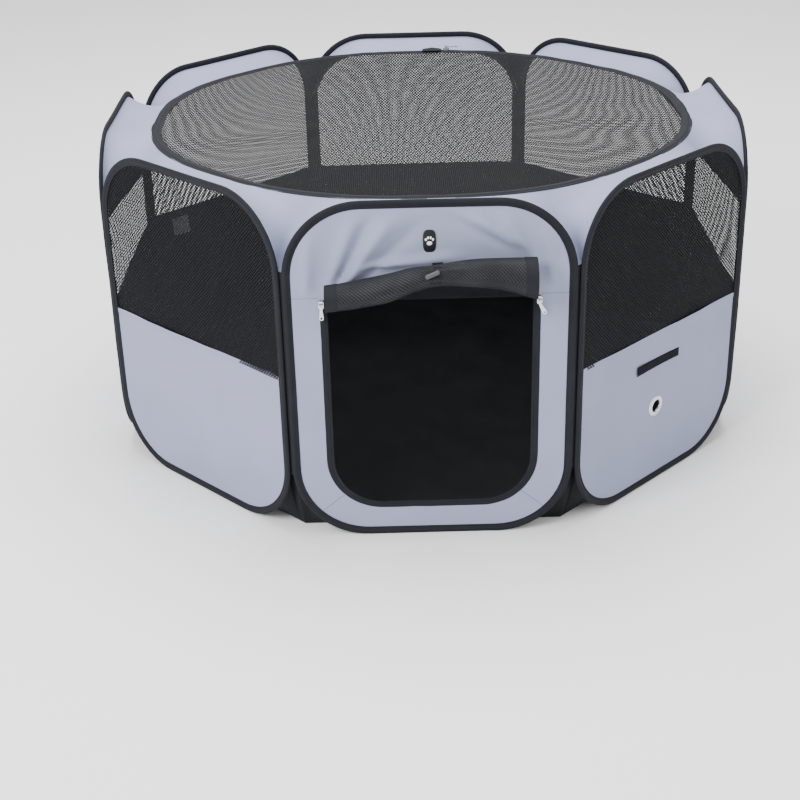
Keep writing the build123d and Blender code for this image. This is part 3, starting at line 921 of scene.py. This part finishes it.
class PLAYPEN_OT_front(PieceOperator, bpy.types.Operator):
    """Cut the front wall's four cloths round the door, with their seams and tension folds"""
    bl_idname = "playpen.front"
    bl_label = "Front cloths"

    def folds(self, u, z):
        """Soft folds that run from the rolled door's ends up to the hoop's corners."""
        total = np.zeros_like(u)
        for foot, head, width, height in FOLDS:
            foot, head = np.array(foot), np.array(head)
            long = np.linalg.norm(head - foot)
            way = (head - foot) / long
            across = (u - foot[0]) * -way[1] + (z - foot[1]) * way[0]
            along = ((u - foot[0]) * way[0] + (z - foot[1]) * way[1]) / long
            fade = smooth(-0.15, 0.2, along) * smooth(1.15, 0.6, along)
            spread = width * (0.7 + 0.8 * np.clip(along, 0, 1.2))
            total += height * fade * np.exp(-(across / spread) ** 2)
        return total

    def border(self, side_sign, sizes, inset):
        """Matching inner and outer lines of a side cloth, from its mitre at the bottom up to the door's top."""
        corner, door_corner = sizes.hoop_corner, sizes.door_corner
        bend_u, bend_z = door_bend(sizes)
        inner = np.concatenate([arc((bend_u, bend_z), door_corner - 0.002, -45, 0, 10),
                                [(DOOR[1].x - 0.002, DOOR[1].z)]])
        outer = np.concatenate([arc((HOOP_HALF - corner, corner), corner - inset, -45, 0, 10),
                                [(HOOP_HALF - inset, DOOR[1].z)]])
        return [even(line, 44) * (side_sign, 1) for line in (inner, outer)]

    def cloth(self, name, u, z, sizes, edge, rests_on):
        slack = 0.0012 * ripples(u, z, 4.4, 0.13) + self.folds(u, z)
        points = on_wall(0, u, 0.0006 + edge * slack, z)
        piece = cloth_piece(f"{name}_sheet", points, np.stack([u, z], -1), sizes.cloth, "grey", "coating")
        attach(piece, "front")
        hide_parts(name)
        declare(points)

    def build(self, sizes, colours):
        inset = sizes.sleeve_width - TUCK
        top = np.concatenate([[DOOR[1].z, DOOR[1].z + 0.0015], np.linspace(DOOR[1].z + 0.006, 0.63, 40),
                              [HOOP_TOP - inset]])
        t = np.linspace(-1, 1, 90)
        u = t[:, None] * half_width(top, inset, sizes.hoop_corner)
        z = np.broadcast_to(top, u.shape)
        edge = smooth(0, 0.10, 1 - np.abs(t[:, None])) * smooth(HOOP_TOP - inset, HOOP_TOP - 0.05, z)
        edge = edge * (0.35 + 0.65 * smooth(DOOR[1].z, DOOR[1].z + 0.02, z))
        self.cloth("front_cloth_top", u, z, sizes, edge, ["front_hoop_sleeve"])
        across = np.linspace(0, 1, 14)
        for name, sign in (("front_cloth_left", -1), ("front_cloth_right", 1)):
            inner, outer = self.border(sign, sizes, inset)
            lines = (outer, inner) if sign < 0 else (inner, outer)
            grid = lines[0][None] * (1 - across[:, None, None]) + lines[1][None] * across[:, None, None]
            edge = np.broadcast_to((4 * across * (1 - across))[:, None], grid.shape[:2])
            self.cloth(name, grid[..., 0], grid[..., 1], sizes, edge * 0.5, ["front_hoop_sleeve"])
        self.bottom(sizes, inset)
        self.seams(sizes)

    def bottom(self, sizes, inset):
        corner, door_corner = sizes.hoop_corner, sizes.door_corner
        bend_u, bend_z = door_bend(sizes)
        inner = np.concatenate([arc((-bend_u, bend_z), door_corner - 0.002, 225, 270, 10),
                                arc((bend_u, bend_z), door_corner - 0.002, 270, 315, 10)])
        hoop_bend = HOOP_HALF - corner
        outer = np.concatenate([arc((-hoop_bend, corner), corner - inset, 225, 270, 10),
                                arc((hoop_bend, corner), corner - inset, 270, 315, 10)])
        inner, outer = even(inner, 60), even(outer, 60)
        across = np.linspace(0, 1, 10)
        grid = outer[:, None] * (1 - across[None, :, None]) + inner[:, None] * across[None, :, None]
        edge = np.broadcast_to((4 * across * (1 - across))[None, :], grid.shape[:2])
        self.cloth("front_cloth_bottom", grid[..., 0], grid[..., 1], sizes, edge * 0.5, ["front_hoop_sleeve"])

    def seams(self, sizes):
        """Topstitching beside the seams: level with the door's top and along the two mitres."""
        z = DOOR[1].z + 0.004
        for name, sign in (("left", -1), ("right", 1)):
            line = [(sign * (DOOR[1].x + 0.004), z), (sign * (HOOP_HALF - sizes.sleeve_width), z)]
            sew(f"front_seam_{name}", line, 0, 0.0009, sizes, "front")
            inner = np.array(door_bend(sizes)) + (sizes.door_corner + 0.003) * np.array([0.7071, -0.7071])
            hoop_bend = HOOP_HALF - sizes.hoop_corner
            reach = sizes.hoop_corner - sizes.sleeve_width
            outer = np.array([hoop_bend, sizes.hoop_corner]) + reach * np.array([0.7071, -0.7071])
            sew(f"front_mitre_{name}", np.array([inner, outer]) * (sign, 1), 0, 0.0009, sizes, "front")


class PLAYPEN_OT_collars(PieceOperator, bpy.types.Operator):
    """Stretch the grey collar from the hoops' tops and corners in to the roof's zip band"""
    bl_idname = "playpen.collars"
    bl_label = "Collars"

    def build(self, sizes, colours):
        stitched = stitch_line(sizes)
        count = len(stitched)
        ring = ring_line(RING_OUT - 0.002, sizes.ring_corner + RING_OUT - ring_middle() - 0.002, count)
        steps = 12
        t = np.linspace(0, 1, steps)[None, :, None]
        for side, name in enumerate(SIDES):
            hoop = on_wall(side, stitched[:, 0], stitched[:, 1], stitched[:, 2])
            band = on_wall(side, ring[:, 0], -APOTHEM - ring[:, 1], (RING[0].z + RING[1].z) / 2)
            points = hoop[:, None] * (1 - t) + band[:, None] * t
            u = stitched[:, 0][:, None] * np.ones((1, steps))
            down = t[..., 0] * 0.1 + u * 0
            sag = 4 * t[..., 0] * (1 - t[..., 0]) * (0.0035 + 0.0020 * ripples(u, down, side + 8.8, 0.08))
            rest = smooth(0, 0.04, np.max(np.abs(stitched[:, 0])) - np.abs(u))
            points = points - UP * (sag * rest)[..., None]
            uv = np.stack([u + side * WALL_SHIFT, down], -1)
            piece = cloth_piece(f"{name}_collar_cloth", points, uv, sizes.cloth, "grey", "coating")
            fold_away(piece, side)
            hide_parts(f"{name}_collar")
            declare(points)


def ring_middle():
    return (RING_OUT + RING_IN) / 2


def stitch_line(sizes):
    """Where a sleeve holds the collar: (along, out, up) from one corner's tip over the top to the other."""
    corner, inset = sizes.hoop_corner, 0.0125
    bend, high = HOOP_HALF - corner, HOOP_TOP - corner
    tip = (APOTHEM - 0.0045) * HALF_TURN
    bent = arc((bend, high), corner - inset, 0, 90, 16)
    straight = np.stack([np.linspace(bend, 0, 8)[1:], np.full(7, HOOP_TOP - inset)], -1)
    half = np.concatenate([[(tip, high - 0.014)], bent, straight])
    out = np.concatenate([[-0.0045], np.interp(np.arange(len(half) - 1), [0, 6], [-0.0042, -0.0016])])
    row = np.column_stack([half[:, 0], out, half[:, 1]])
    return join_halves(row)


def join_halves(row):
    """A line symmetric about the wall's middle, from its left half to its right half."""
    left = row * (-1, 1, 1) if row.shape[1] == 3 else row * (-1, 1)
    return np.concatenate([left[:-1], row[::-1]])


def ring_line(apothem, corner, count):
    """A rounded octagon over one wall, as (along, y), in as many points as the stitch line."""
    half = (count + 1) // 2
    flat = (apothem - corner) * HALF_TURN
    bends = 17
    angles = np.linspace(TURN / 2, 0, bends)
    bent = np.stack([flat + corner * np.sin(angles), corner - apothem - corner * np.cos(angles)], -1)
    straight = np.stack([np.linspace(flat, 0, half - bends + 1)[1:], np.full(half - bends, -apothem)], -1)
    return join_halves(np.concatenate([bent, straight]))


class PLAYPEN_OT_roof(PieceOperator, bpy.types.Operator):
    """Lay the roof's netting and the zip band round it, in sectors that fold with the walls"""
    bl_idname = "playpen.roof"
    bl_label = "Roof"

    def height(self, x, y):
        """The netting sags a little and is drawn in faint folds from its edges."""
        radius = np.hypot(x, y)
        angle = np.arctan2(y, x)
        sag = -0.010 * (1 - np.clip(radius / RING_IN, 0, 1) ** 2)
        fold = np.cos(angle * 9 + 0.6) * 0.5 + np.cos(angle * 14 + 2.0) * 0.5
        weight = smooth(0.10, 0.45, radius) * smooth(RING_IN * 1.06, RING_IN * 0.8, radius)
        return sag + 0.0030 * fold * weight * (0.4 + 0.6 * np.abs(np.cos(angle)))

    def build(self, sizes, colours):
        middle, base = ring_middle(), RING[0].z
        corner = sizes.ring_corner
        inner = ring_line(RING_IN + 0.004, corner - (middle - RING_IN) + 0.004, 41)
        t = np.append(np.linspace(0, 1, 22)[:-1], 0.999)
        for side, name in enumerate(SIDES):
            flat = on_wall(side, inner[:, 0], -APOTHEM - inner[:, 1], 0.0)
            points = flat[:, None] * (1 - t[None, :, None])
            x, y = points[..., 0], points[..., 1]
            points[..., 2] = base + 0.0018 + self.height(x, y)
            net = sheet_piece(f"{name}_roof_net", points, np.stack([x, y], -1), "net")
            fold_away(net, side)
            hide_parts("roof_mesh")
            declare(points)
            self.band(side, name, sizes, base)

    def band(self, side, name, sizes, base):
        """Zip band: an outer tape, a covered coil and an inner tape, as one closed strip."""
        middle = ring_middle()
        half = RING_OUT - middle
        across = np.array([-1.0, -0.93, -0.34, -0.26, -0.10, 0.10, 0.26, 0.34, 0.93, 1.0]) * half
        rise = np.array([0.0010, 0.0021, 0.0024, 0.0034, 0.0040, 0.0040, 0.0034, 0.0024, 0.0021, 0.0010])
        rows = []
        for offset, up in zip(across, rise):
            line = ring_line(middle + offset, sizes.ring_corner + offset, 61)
            rows.append(on_wall(side, line[:, 0], -APOTHEM - line[:, 1], base + up))
        points = np.stack(rows[::-1], 1)
        run = run_along(points[:, 4])
        wobble = 0.0006 * ripples(run, run * 0, side + 3.3, 0.05)
        points[..., 2] += wobble[:, None] * smooth(0, 0.03, np.minimum(run, run[-1] - run))[:, None]
        uv = uv_grid(run + side, across[::-1])
        piece = cloth_piece(f"{name}_roof_band", points, uv, 0.0009, "binding", "zip_tape")
        fold_away(piece, side)
        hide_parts("roof_zip_ring")
        declare(points)


class PLAYPEN_OT_ground_cloth(PieceOperator, bpy.types.Operator):
    """Lay the black floor cloth, with the gussets that rise between the hoops"""
    bl_idname = "playpen.ground_cloth"
    bl_label = "Floor cloth"

    def build(self, sizes, colours):
        stitched = stitch_line(sizes)
        count = len(stitched)
        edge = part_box("floor_sheet")[1].x - 0.036
        line = np.stack([stitched[:, 0] * edge * HALF_TURN / stitched[-1, 0], np.full(count, -edge)], -1)
        lie = 0.0018
        rise = np.linspace(0, 1, 8)
        spread = np.append(np.linspace(0, 1, 16)[1:-1], 0.999)
        for side, name in enumerate(SIDES):
            hoop = on_wall(side, stitched[:, 0], stitched[:, 1], HOOP_TOP - stitched[:, 2])
            flat = on_wall(side, line[:, 0], -APOTHEM - line[:, 1], lie)
            curve = (1 - (1 - rise) ** 1.6)[None, :, None]
            wall = hoop[:, None] * (1 - curve) + flat[:, None] * curve
            inner = flat[:, None] * (1 - spread[None, :, None])
            inner[..., 2] = lie
            points = np.concatenate([wall, inner], 1)[:, ::-1]
            x, y = points[..., 0], points[..., 1]
            near = smooth(0.02, 0.16, edge - np.hypot(x, y) * 0.99)
            points[..., 2] += 0.0035 * near * np.maximum(ripples(x, y, 1.7, 0.11), 0)
            piece = cloth_piece(f"{name}_floor_cloth", points, np.stack([x, y], -1), 0.0009, "coating", "coating")
            fold_away(piece, side)
            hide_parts("floor_sheet")
            declare(points)


class PLAYPEN_OT_creases(PieceOperator, bpy.types.Operator):
    """Join neighbouring hoops with their crease tapes"""
    bl_idname = "playpen.creases"
    bl_label = "Crease tapes"

    def build(self, sizes, colours):
        reach = sizes.sleeve_width * 0.7
        low, high = sizes.hoop_corner - 0.012, HOOP_TOP - sizes.hoop_corner + 0.012
        z = np.linspace(low, high, 40)
        across = np.linspace(-1, 1, 9)
        behind = -0.0036
        for side, name in enumerate(SIDES):
            other = (side + 1) % len(SIDES)
            near = on_wall(side, HOOP_HALF - reach, behind, z)
            far = on_wall(other, -HOOP_HALF + reach, behind, z)
            bend = on_wall(side, (APOTHEM + behind) * HALF_TURN, behind, z)
            rows = []
            for t in across:
                start, share = (near, 1 + t) if t < 0 else (bend, t)
                end = bend if t < 0 else far
                rows.append(start * (1 - share) + end * share)
            points = np.stack(rows, 0)
            uv = uv_grid(across * reach, z)[..., ::-1]
            piece = cloth_piece(f"{name}_crease_tape", points, uv, 0.0008, "binding", "binding")
            if name == "back":
                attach(piece, name)
            else:
                ends = [on_wall(side, HOOP_HALF - 0.002, 0.0, 0.3), on_wall(other, -HOOP_HALF + 0.002, 0.0, 0.3)]
                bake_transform(piece)
            declare(points)


class PLAYPEN_OT_door(PieceOperator, bpy.types.Operator):
    """Sew the door's zip tape and teeth, and roll up its netting"""
    bl_idname = "playpen.door"
    bl_label = "Door"

    def build(self, sizes, colours):
        self.zip_tape(sizes)
        self.head_tape()
        self.rolled_door(sizes)
        self.flap()

    def zip_tape(self, sizes):
        line = door_line(0.0, sizes)
        points, normals, ways, run, total = resample(line, 0.006)
        across = np.array([-0.0010, 0.0, 0.004, 0.008, 0.0112, 0.0120])
        rise = np.array([0.0009, 0.0014, 0.0014, 0.0014, 0.0013, 0.0008])
        u = points[:, :1] - normals[:, :1] * across[None]
        z = points[:, 1:] - normals[:, 1:] * across[None]
        wave = 0.0005 * ripples(run, run * 0, 9.1, 0.03)
        grid = on_wall(0, u, rise[None] + wave[:, None], z)
        uv = uv_grid(run, across)
        piece = cloth_piece("door_zip_band", grid, uv, 0.0016, "binding", "zip_tape")
        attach(piece, "front")
        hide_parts("door_zip_tape")
        declare(grid)
        for name, inset in (("outer", 0.0012), ("inner", 0.0068)):
            row = resample(line, 0.006)[0] - normals * inset
            sew(f"door_tape_stitches_{name}", row, 0, 0.0017, sizes, "front")
        coil, normals, ways, _, _ = resample(line, sizes.tooth_pitch)
        coil = coil - normals * 0.0112
        places = on_wall(0, coil[:, 0], 0.0019, coil[:, 1])
        turn = [np.array([w[0], 0, w[1]]) for w in ways]
        side = [np.array([n[0], 0, n[1]]) for n in normals]
        segments("door_zip_teeth", places, side, turn, [np.array([0, -1.0, 0])] * len(places),
                 (0.0034, 0.0012, 0.0018), "front", "teeth")

    def head_tape(self):
        """The tape that joins the door's netting to the cloth over it."""
        x = np.linspace(-1, 1, 60) * (ROLL[1].x - 0.004)
        z = DOOR[1].z + np.array([-0.0010, 0.0, 0.0045, 0.0090, 0.0140, 0.0190, 0.0235, 0.0240])
        rise = np.array([0.0010, 0.0016, 0.0016, 0.0016, 0.0016, 0.0016, 0.0016, 0.0008])
        grid_x, grid_z = grid(x, z)
        out = 0.0012 + rise[None] + 0.0004 * ripples(grid_x, grid_z, 5.5, 0.04)
        points = on_wall(0, grid_x, out, grid_z)
        piece = cloth_piece("door_head_tape", points, np.stack([grid_x, grid_z], -1), 0.0012, "binding", "zip_tape")
        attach(piece, "front")
        declare(points)

    def roll_line(self, x):
        """Height of the roll's axis and its radius, smoothed between the stations of its shape."""
        half = ROLL[1].x
        stations = np.array(ROLL_SHAPE)
        spread = np.linspace(-0.016, 0.016, 9)
        places = np.clip(np.asarray(x, float)[..., None] + spread, -half, half)
        rise, radius = (np.interp(places, stations[:, 0] * half, stations[:, k]).mean(-1) for k in (1, 2))
        return DOOR[1].z + rise, radius

    def rolled_door(self, sizes):
        """The rolled netting: puckered under its strap, with smooth tape at the ends and its turns showing."""
        half = ROLL[1].x - 0.0015
        x = np.linspace(-half, half, 150)
        turns = np.linspace(0, 2 * np.pi, 72, endpoint=False)
        grid_x, angle = grid(x, turns)
        axis_z, full = self.roll_line(grid_x)
        off = grid_x - STRAP_X
        pinch = np.exp(-(off / 0.050) ** 2)
        twist = angle + 9.0 * off * np.exp(-(off / 0.07) ** 2)
        pleats = np.cos(twist * 7 + 0.6) * 0.6 + np.cos(twist * 11 + 1.9) * 0.4
        beside = smooth(0.0, 0.03, np.abs(off)) * smooth(0.17, 0.08, np.abs(off))
        valleys = np.cos(twist * 3 + 1.1 + grid_x * 6) * beside
        uneven = ripples(grid_x, np.sin(angle) * 0.05, 2.2, 0.07) + ripples(grid_x, np.cos(angle) * 0.05, 12.2, 0.06)
        radius = full * (1 + 0.11 * pinch * pleats + 0.055 * valleys + 0.03 * uneven)
        around_lap = (angle - 4.2 + grid_x * 1.2) % (2 * np.pi)
        lap = smooth(0.0, 0.10, around_lap) * smooth(2 * np.pi, 2 * np.pi - 1.2, around_lap) * 0.0016
        radius = np.minimum(radius + lap, full + 0.0024)
        y = ROLL_OUT - radius * np.cos(angle)
        z = axis_z + radius * np.sin(angle)
        points = np.stack([grid_x, y, z], -1)
        around = np.append(turns, 2 * np.pi)
        uv = np.stack([np.broadcast_to(np.append(x, x[-1])[:, None], (151, 73)),
                       np.broadcast_to(around * 0.026, (151, 73))], -1)
        piece = tube_piece("door_roll_net", points, uv, "rolled_net", closed_path=False)
        self.settle(piece)
        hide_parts("door_roll")
        for name, start, end in (("left", -half - 0.0012, -half + sizes.roll_end_band),
                                 ("right", half - sizes.roll_end_band, half + 0.0012)):
            self.end_band(name, start, end, x, points, sizes)

    def settle(self, piece):
        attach(piece, "rolled_door")
        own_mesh(piece)

    def end_band(self, name, start, end, x, points, sizes):
        """Smooth tape round one end of the roll, and the turns of the roll inside it."""
        places = np.linspace(start, end, 10)
        inside = np.clip(places, x[0], x[-1])
        rings = np.stack([np.stack([np.interp(inside, x, points[:, j, k]) for k in range(3)], -1)
                          for j in range(points.shape[1])], 1)
        rings[..., 0] = places[:, None]
        centre = rings.mean(1, keepdims=True)
        away = rings - centre
        away /= np.linalg.norm(away, axis=-1, keepdims=True)
        outer = rings + away * 0.0009
        # carry the band over the end and inwards in the turns of a roll
        tip = outer[0] if name == "left" else outer[-1]
        middle = tip.mean(0)
        way = -1 if name == "left" else 1
        caps = []
        for i, share in enumerate(np.linspace(0.93, 0.04, 22)):
            ring = middle + (tip - middle) * share
            ring[:, 0] = tip[:, 0] - way * (0.0016 if i % 2 else 0.0)
            caps.append(ring)
        caps = np.stack(caps)
        loops = np.concatenate([caps[::-1], outer]) if name == "left" else np.concatenate([outer, caps])
        uv = uv_grid(np.append(run_along(loops[:, 0]), 0), np.linspace(0, 0.17, loops.shape[1] + 1))
        band = tube_piece(f"door_roll_band_{name}", loops, uv, "binding", closed_path=False)
        self.settle(band)

    def flap(self):
        """The unrolled stretch from the door's top seam out to the roll."""
        half = ROLL[1].x - 0.004
        x = np.linspace(-half, half, 60)
        t = np.linspace(0, 1, 18)
        grid_x, share = grid(x, t)
        axis_z, radius = self.roll_line(grid_x)
        seam_y, seam_z = -APOTHEM - 0.0034, DOOR[1].z
        out, rise = seam_y - ROLL_OUT, axis_z - seam_z
        clear = radius + 0.0005
        run = np.sqrt(out ** 2 + rise ** 2 - clear ** 2)
        slope = np.arctan2(rise, out) - np.arcsin(clear / np.hypot(out, rise))
        y = seam_y - share * run * np.cos(slope)
        z = seam_z + share * run * np.sin(slope)
        points = np.stack([grid_x, y, z], -1)[:, ::-1]
        uv = np.stack([grid_x, -share * 0.42], -1)[:, ::-1]
        piece = sheet_piece("door_flap_net", points, uv, "door_net")
        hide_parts("door_flap")
        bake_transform(piece)
        declare(points)


class PLAYPEN_OT_strap(PieceOperator, bpy.types.Operator):
    """Wrap the strap round the rolled door and set its toggle"""
    bl_idname = "playpen.strap"
    bl_label = "Strap and toggle"

    def build(self, sizes, colours):
        centre_z = DOOR[1].z + WAIST_RISE
        x = np.linspace(-0.009, 0.009, 9) + STRAP_X
        turns = np.linspace(0, 2 * np.pi, 64, endpoint=False)
        grid_x, angle = grid(x, turns)
        edge = np.abs(grid_x - STRAP_X) / 0.010
        radius = sizes.strap_radius + 0.0014 + 0.0008 * edge ** 2 + 0.0004 * np.cos(angle * 5 + 1)
        y = ROLL_OUT - radius * np.cos(angle)
        z = centre_z + radius * np.sin(angle)
        outer = np.stack([grid_x + 0.25 * (z - centre_z), y, z], -1)
        middle = outer.mean(1, keepdims=True)
        away = outer - middle
        away[..., 0] = 0
        away /= np.linalg.norm(away, axis=-1, keepdims=True)
        inner = outer - away * 0.0015
        loops = np.concatenate([outer, inner[::-1]])
        run = np.concatenate([x - x[0], 0.021 + (x - x[0]), [0.042]])
        uv = np.stack(np.meshgrid(np.linspace(0, 0.11, loops.shape[1] + 1), run, indexing="xy"), -1)
        piece = tube_piece("door_strap_webbing", loops, uv, "webbing")
        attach(piece, "front")
        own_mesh(piece)
        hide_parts("door_strap")
        declare(outer)
        self.tail(centre_z, sizes)
        refinish("door_toggle", "toggle")

    def tail(self, centre_z, sizes):
        """The strap's sewn end, from the back of the roll up to the front cloth."""
        t = np.linspace(0, 1, 20)
        x = np.linspace(-0.009, 0.009, 7) + STRAP_X + 0.003
        grid_x, share = grid(x, t)
        start_y, end_y = ROLL_OUT + sizes.strap_radius + 0.002, -APOTHEM - 0.0026
        y = start_y + (end_y - start_y) * smooth(0.0, 0.8, share)
        z = centre_z + 0.016 * share
        points = np.stack([grid_x, y, z], -1)
        uv = np.stack([share * 0.05, grid_x], -1)
        piece = cloth_piece("door_strap_tail", points, uv, 0.0014, "webbing", "webbing")
        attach(piece, "front")
        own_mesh(piece)
        declare(points)


class PLAYPEN_OT_fittings(PieceOperator, bpy.types.Operator):
    """Plate the sliders and pulls, and sew the cover flap over the roof's zip"""
    bl_idname = "playpen.fittings"
    bl_label = "Zip fittings"

    def build(self, sizes, colours):
        for node in ("door_slider_left", "door_slider_right", "door_pull_left", "door_pull_right", "roof_slider",
                     "roof_pull"):
            refinish(node, "nickel")
        low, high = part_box("roof_zip_cover")
        t = np.linspace(-1, 1, 26)
        grid_a, grid_b = grid(t, t)
        squared = (1 - grid_b ** 2 * 0.14, 1 - grid_a ** 2 * 0.14)
        x = (low.x + high.x) / 2 + grid_a * squared[0] * (high.x - low.x) / 2
        y = (low.y + high.y) / 2 + grid_b * squared[1] * (high.y - low.y) / 2
        dome = (1 - np.abs(grid_a) ** 4) * (1 - np.abs(grid_b) ** 3)
        z = low.z + 0.0014 + (high.z - low.z - 0.0014) * dome * (0.85 + 0.15 * np.cos(grid_a * 5))
        points = np.stack([x, y, z], -1)
        piece = cloth_piece("roof_zip_garage", points, np.stack([x, y], -1), 0.0012, "binding", "zip_tape")
        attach(piece, "zip_cover")
        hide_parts("roof_zip_cover")
        declare(points)


class PLAYPEN_OT_tag(PieceOperator, bpy.types.Operator):
    """Mould the tag on the front, with a plain paw, and sew in the blank care label"""
    bl_idname = "playpen.tag"
    bl_label = "Tag and label"

    def dome(self, centre_u, centre_z, half_u, half_z, base, height, power=2.0, rings=9, spokes=40):
        """A low rounded disc or rounded rectangle on the front wall, as one closed piece."""
        angles = np.linspace(0, 2 * np.pi, spokes, endpoint=False)
        loops = []
        for share, up in [(0.97, 0.0)] + [(np.cos(a), np.sin(a)) for a in np.linspace(0, np.pi / 2 - 0.06, rings)]:
            shape = (np.abs(np.cos(angles)) ** power + np.abs(np.sin(angles)) ** power) ** (-1 / power)
            u = centre_u + half_u * share * shape * np.cos(angles)
            z = centre_z + half_z * share * shape * np.sin(angles)
            loops.append(on_wall(0, u, base + height * up, z))
        return np.stack(loops)

    def disc(self, name, material, *shape, **more):
        loops = self.dome(*shape, **more)
        rows, columns = loops.shape[:2]
        uv = uv_grid(np.linspace(0, 0.01, rows + 1), np.linspace(0, 0.1, columns + 1))
        piece = tube_piece(name, loops, uv, material, closed_path=False)
        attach(piece, "front")
        return piece

    def build(self, sizes, colours):
        centre = (TAG[0] + TAG[1]) / 2
        half_u, half_z = (TAG[1].x - TAG[0].x) / 2, (TAG[1].z - TAG[0].z) / 2
        base = 0.0014
        patch = self.disc("front_tag_patch", "tag", centre.x, centre.z, half_u, half_z, base, 0.0018, power=3.4,
                          spokes=64)
        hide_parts("front_tag")
        for i, (u, z, wide, high) in enumerate(PAW):
            self.disc(f"front_tag_paw_{i}", "print", centre.x + u, centre.z + z, wide, high, base + 0.0014, 0.0009,
                      rings=5, spokes=20)
        self.care_label()

    def care_label(self):
        """A small blank satin label, sewn inside the back left wall."""
        side = SIDES.index("back_left")
        foot, head = 0.262, 0.302
        u = np.linspace(0.150, 0.195, 10)
        z = np.linspace(foot, head, 10)
        grid_u, grid_z = grid(u, z)
        lift = smooth(head, foot, grid_z) * 0.004 * (1 + 0.4 * np.sin(grid_u * 90))
        points = on_wall(side, grid_u, -0.0042 - lift, grid_z)[::-1]
        uv = np.stack([grid_u, grid_z], -1)[::-1]
        piece = cloth_piece("care_label", points, uv, 0.0004, "label", "label")
        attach(piece, "back_left")
        declare(points)


class PLAYPEN_OT_bottle_port(PieceOperator, bpy.types.Operator):
    """Clench the bottle port's eyelet and sew on the hook-and-loop strip"""
    bl_idname = "playpen.bottle_port"
    bl_label = "Bottle port"

    def build(self, sizes, colours):
        self.eyelet(sizes)
        self.strip()

    def eyelet(self, sizes):
        """Turned profile: rolled lip, dished flange, barrel and the washer inside."""
        bore, flange = sizes.port_bore, sizes.port_flange
        profile = [(flange, 0.0007), (flange - 0.0003, 0.0015), (flange - 0.0012, 0.0021), (flange - 0.0035, 0.0026),
                   (bore + 0.0030, 0.0031), (bore + 0.0012, 0.0029), (bore + 0.0003, 0.0020), (bore, 0.0006),
                   (bore, -0.0016), (bore + 0.0004, -0.0024), (bore + 0.0014, -0.0028), (bore + 0.0040, -0.0024),
                   (flange - 0.0015, -0.0020), (flange - 0.0006, -0.0014), (flange - 0.0006, -0.0008),
                   (bore + 0.0018, -0.0008), (bore + 0.0013, -0.0004), (bore + 0.0013, 0.0007)]
        centre = np.array(PORT["pos_m"])
        along, out = along_wall(1), np.array(outward(1))
        angles = np.linspace(0, 2 * np.pi, 72, endpoint=False)
        loops = np.array([[centre + r * (along * np.cos(a) + UP * np.sin(a)) + out * d for r, d in profile]
                          for a in angles])
        uv = uv_grid(np.linspace(0, 0.1, len(angles) + 1), np.linspace(0, 0.03, len(profile) + 1))
        piece = tube_piece("bottle_port_ring", loops, uv, "nickel")
        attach(piece, "front_right")
        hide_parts("bottle_port_eyelet")

    def strip(self):
        low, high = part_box("hook_strip")
        middle = (low + high) / 2
        centre_u = middle.x * np.cos(TURN) + middle.y * np.sin(TURN)
        half_u = (high.x - low.x) / 2 / np.cos(TURN) - 0.0012
        half_z = (high.z - low.z) / 2
        t, s = np.linspace(-1, 1, 90), np.linspace(-1, 1, 18)
        grid_t, grid_s = grid(t, s)
        u = centre_u + grid_t * half_u
        z = middle.z + grid_s * (half_z - 0.0006) + 0.0012 * (1 - grid_t ** 2)
        pile = 0.0020 * (1 - np.abs(grid_s) ** 8) * (1 - np.abs(grid_t) ** 24)
        fuzz = 0.00035 * ripples(u, z, 6.6, 0.0021)
        points = on_wall(1, u, 0.0016 + pile + fuzz * (pile > 0.001), z)
        piece = cloth_piece("hook_strip_pile", points, np.stack([u, z], -1), 0.0010, "loops", "loops")
        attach(piece, "front_right")
        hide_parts("hook_strip")
        declare(points)


class PLAYPEN_PT_panel(bpy.types.Panel):
    """Sizes, colours and steps of the playpen"""
    bl_idname = "PLAYPEN_PT_panel"
    bl_label = "Pet playpen"
    bl_space_type = "VIEW_3D"
    bl_region_type = "UI"
    bl_category = "Playpen"

    def draw(self, context):
        for group in (context.scene.playpen_sizes, context.scene.playpen_colours):
            box = self.layout.box()
            for name in group.__annotations__:
                box.prop(group, name)
        for step in STEPS:
            self.layout.operator(step.bl_idname)


STEPS = (PLAYPEN_OT_stage, PLAYPEN_OT_sleeves, PLAYPEN_OT_windows, PLAYPEN_OT_skirts, PLAYPEN_OT_front,
         PLAYPEN_OT_collars, PLAYPEN_OT_roof, PLAYPEN_OT_ground_cloth, PLAYPEN_OT_creases, PLAYPEN_OT_door,
         PLAYPEN_OT_strap, PLAYPEN_OT_fittings, PLAYPEN_OT_tag, PLAYPEN_OT_bottle_port)
CLASSES = (PlaypenSizes, PlaypenColours, *STEPS, PLAYPEN_PT_panel)


def register():
    for item in CLASSES:
        bpy.utils.register_class(item)
    bpy.types.Scene.playpen_sizes = PointerProperty(type=PlaypenSizes)
    bpy.types.Scene.playpen_colours = PointerProperty(type=PlaypenColours)


def unregister():
    del bpy.types.Scene.playpen_colours
    del bpy.types.Scene.playpen_sizes
    for item in reversed(CLASSES):
        bpy.utils.unregister_class(item)


def main():
    register()
    for step in STEPS:
        group, name = step.bl_idname.split(".")
        getattr(getattr(bpy.ops, group), name)()


if __name__ == "__main__":
    main()
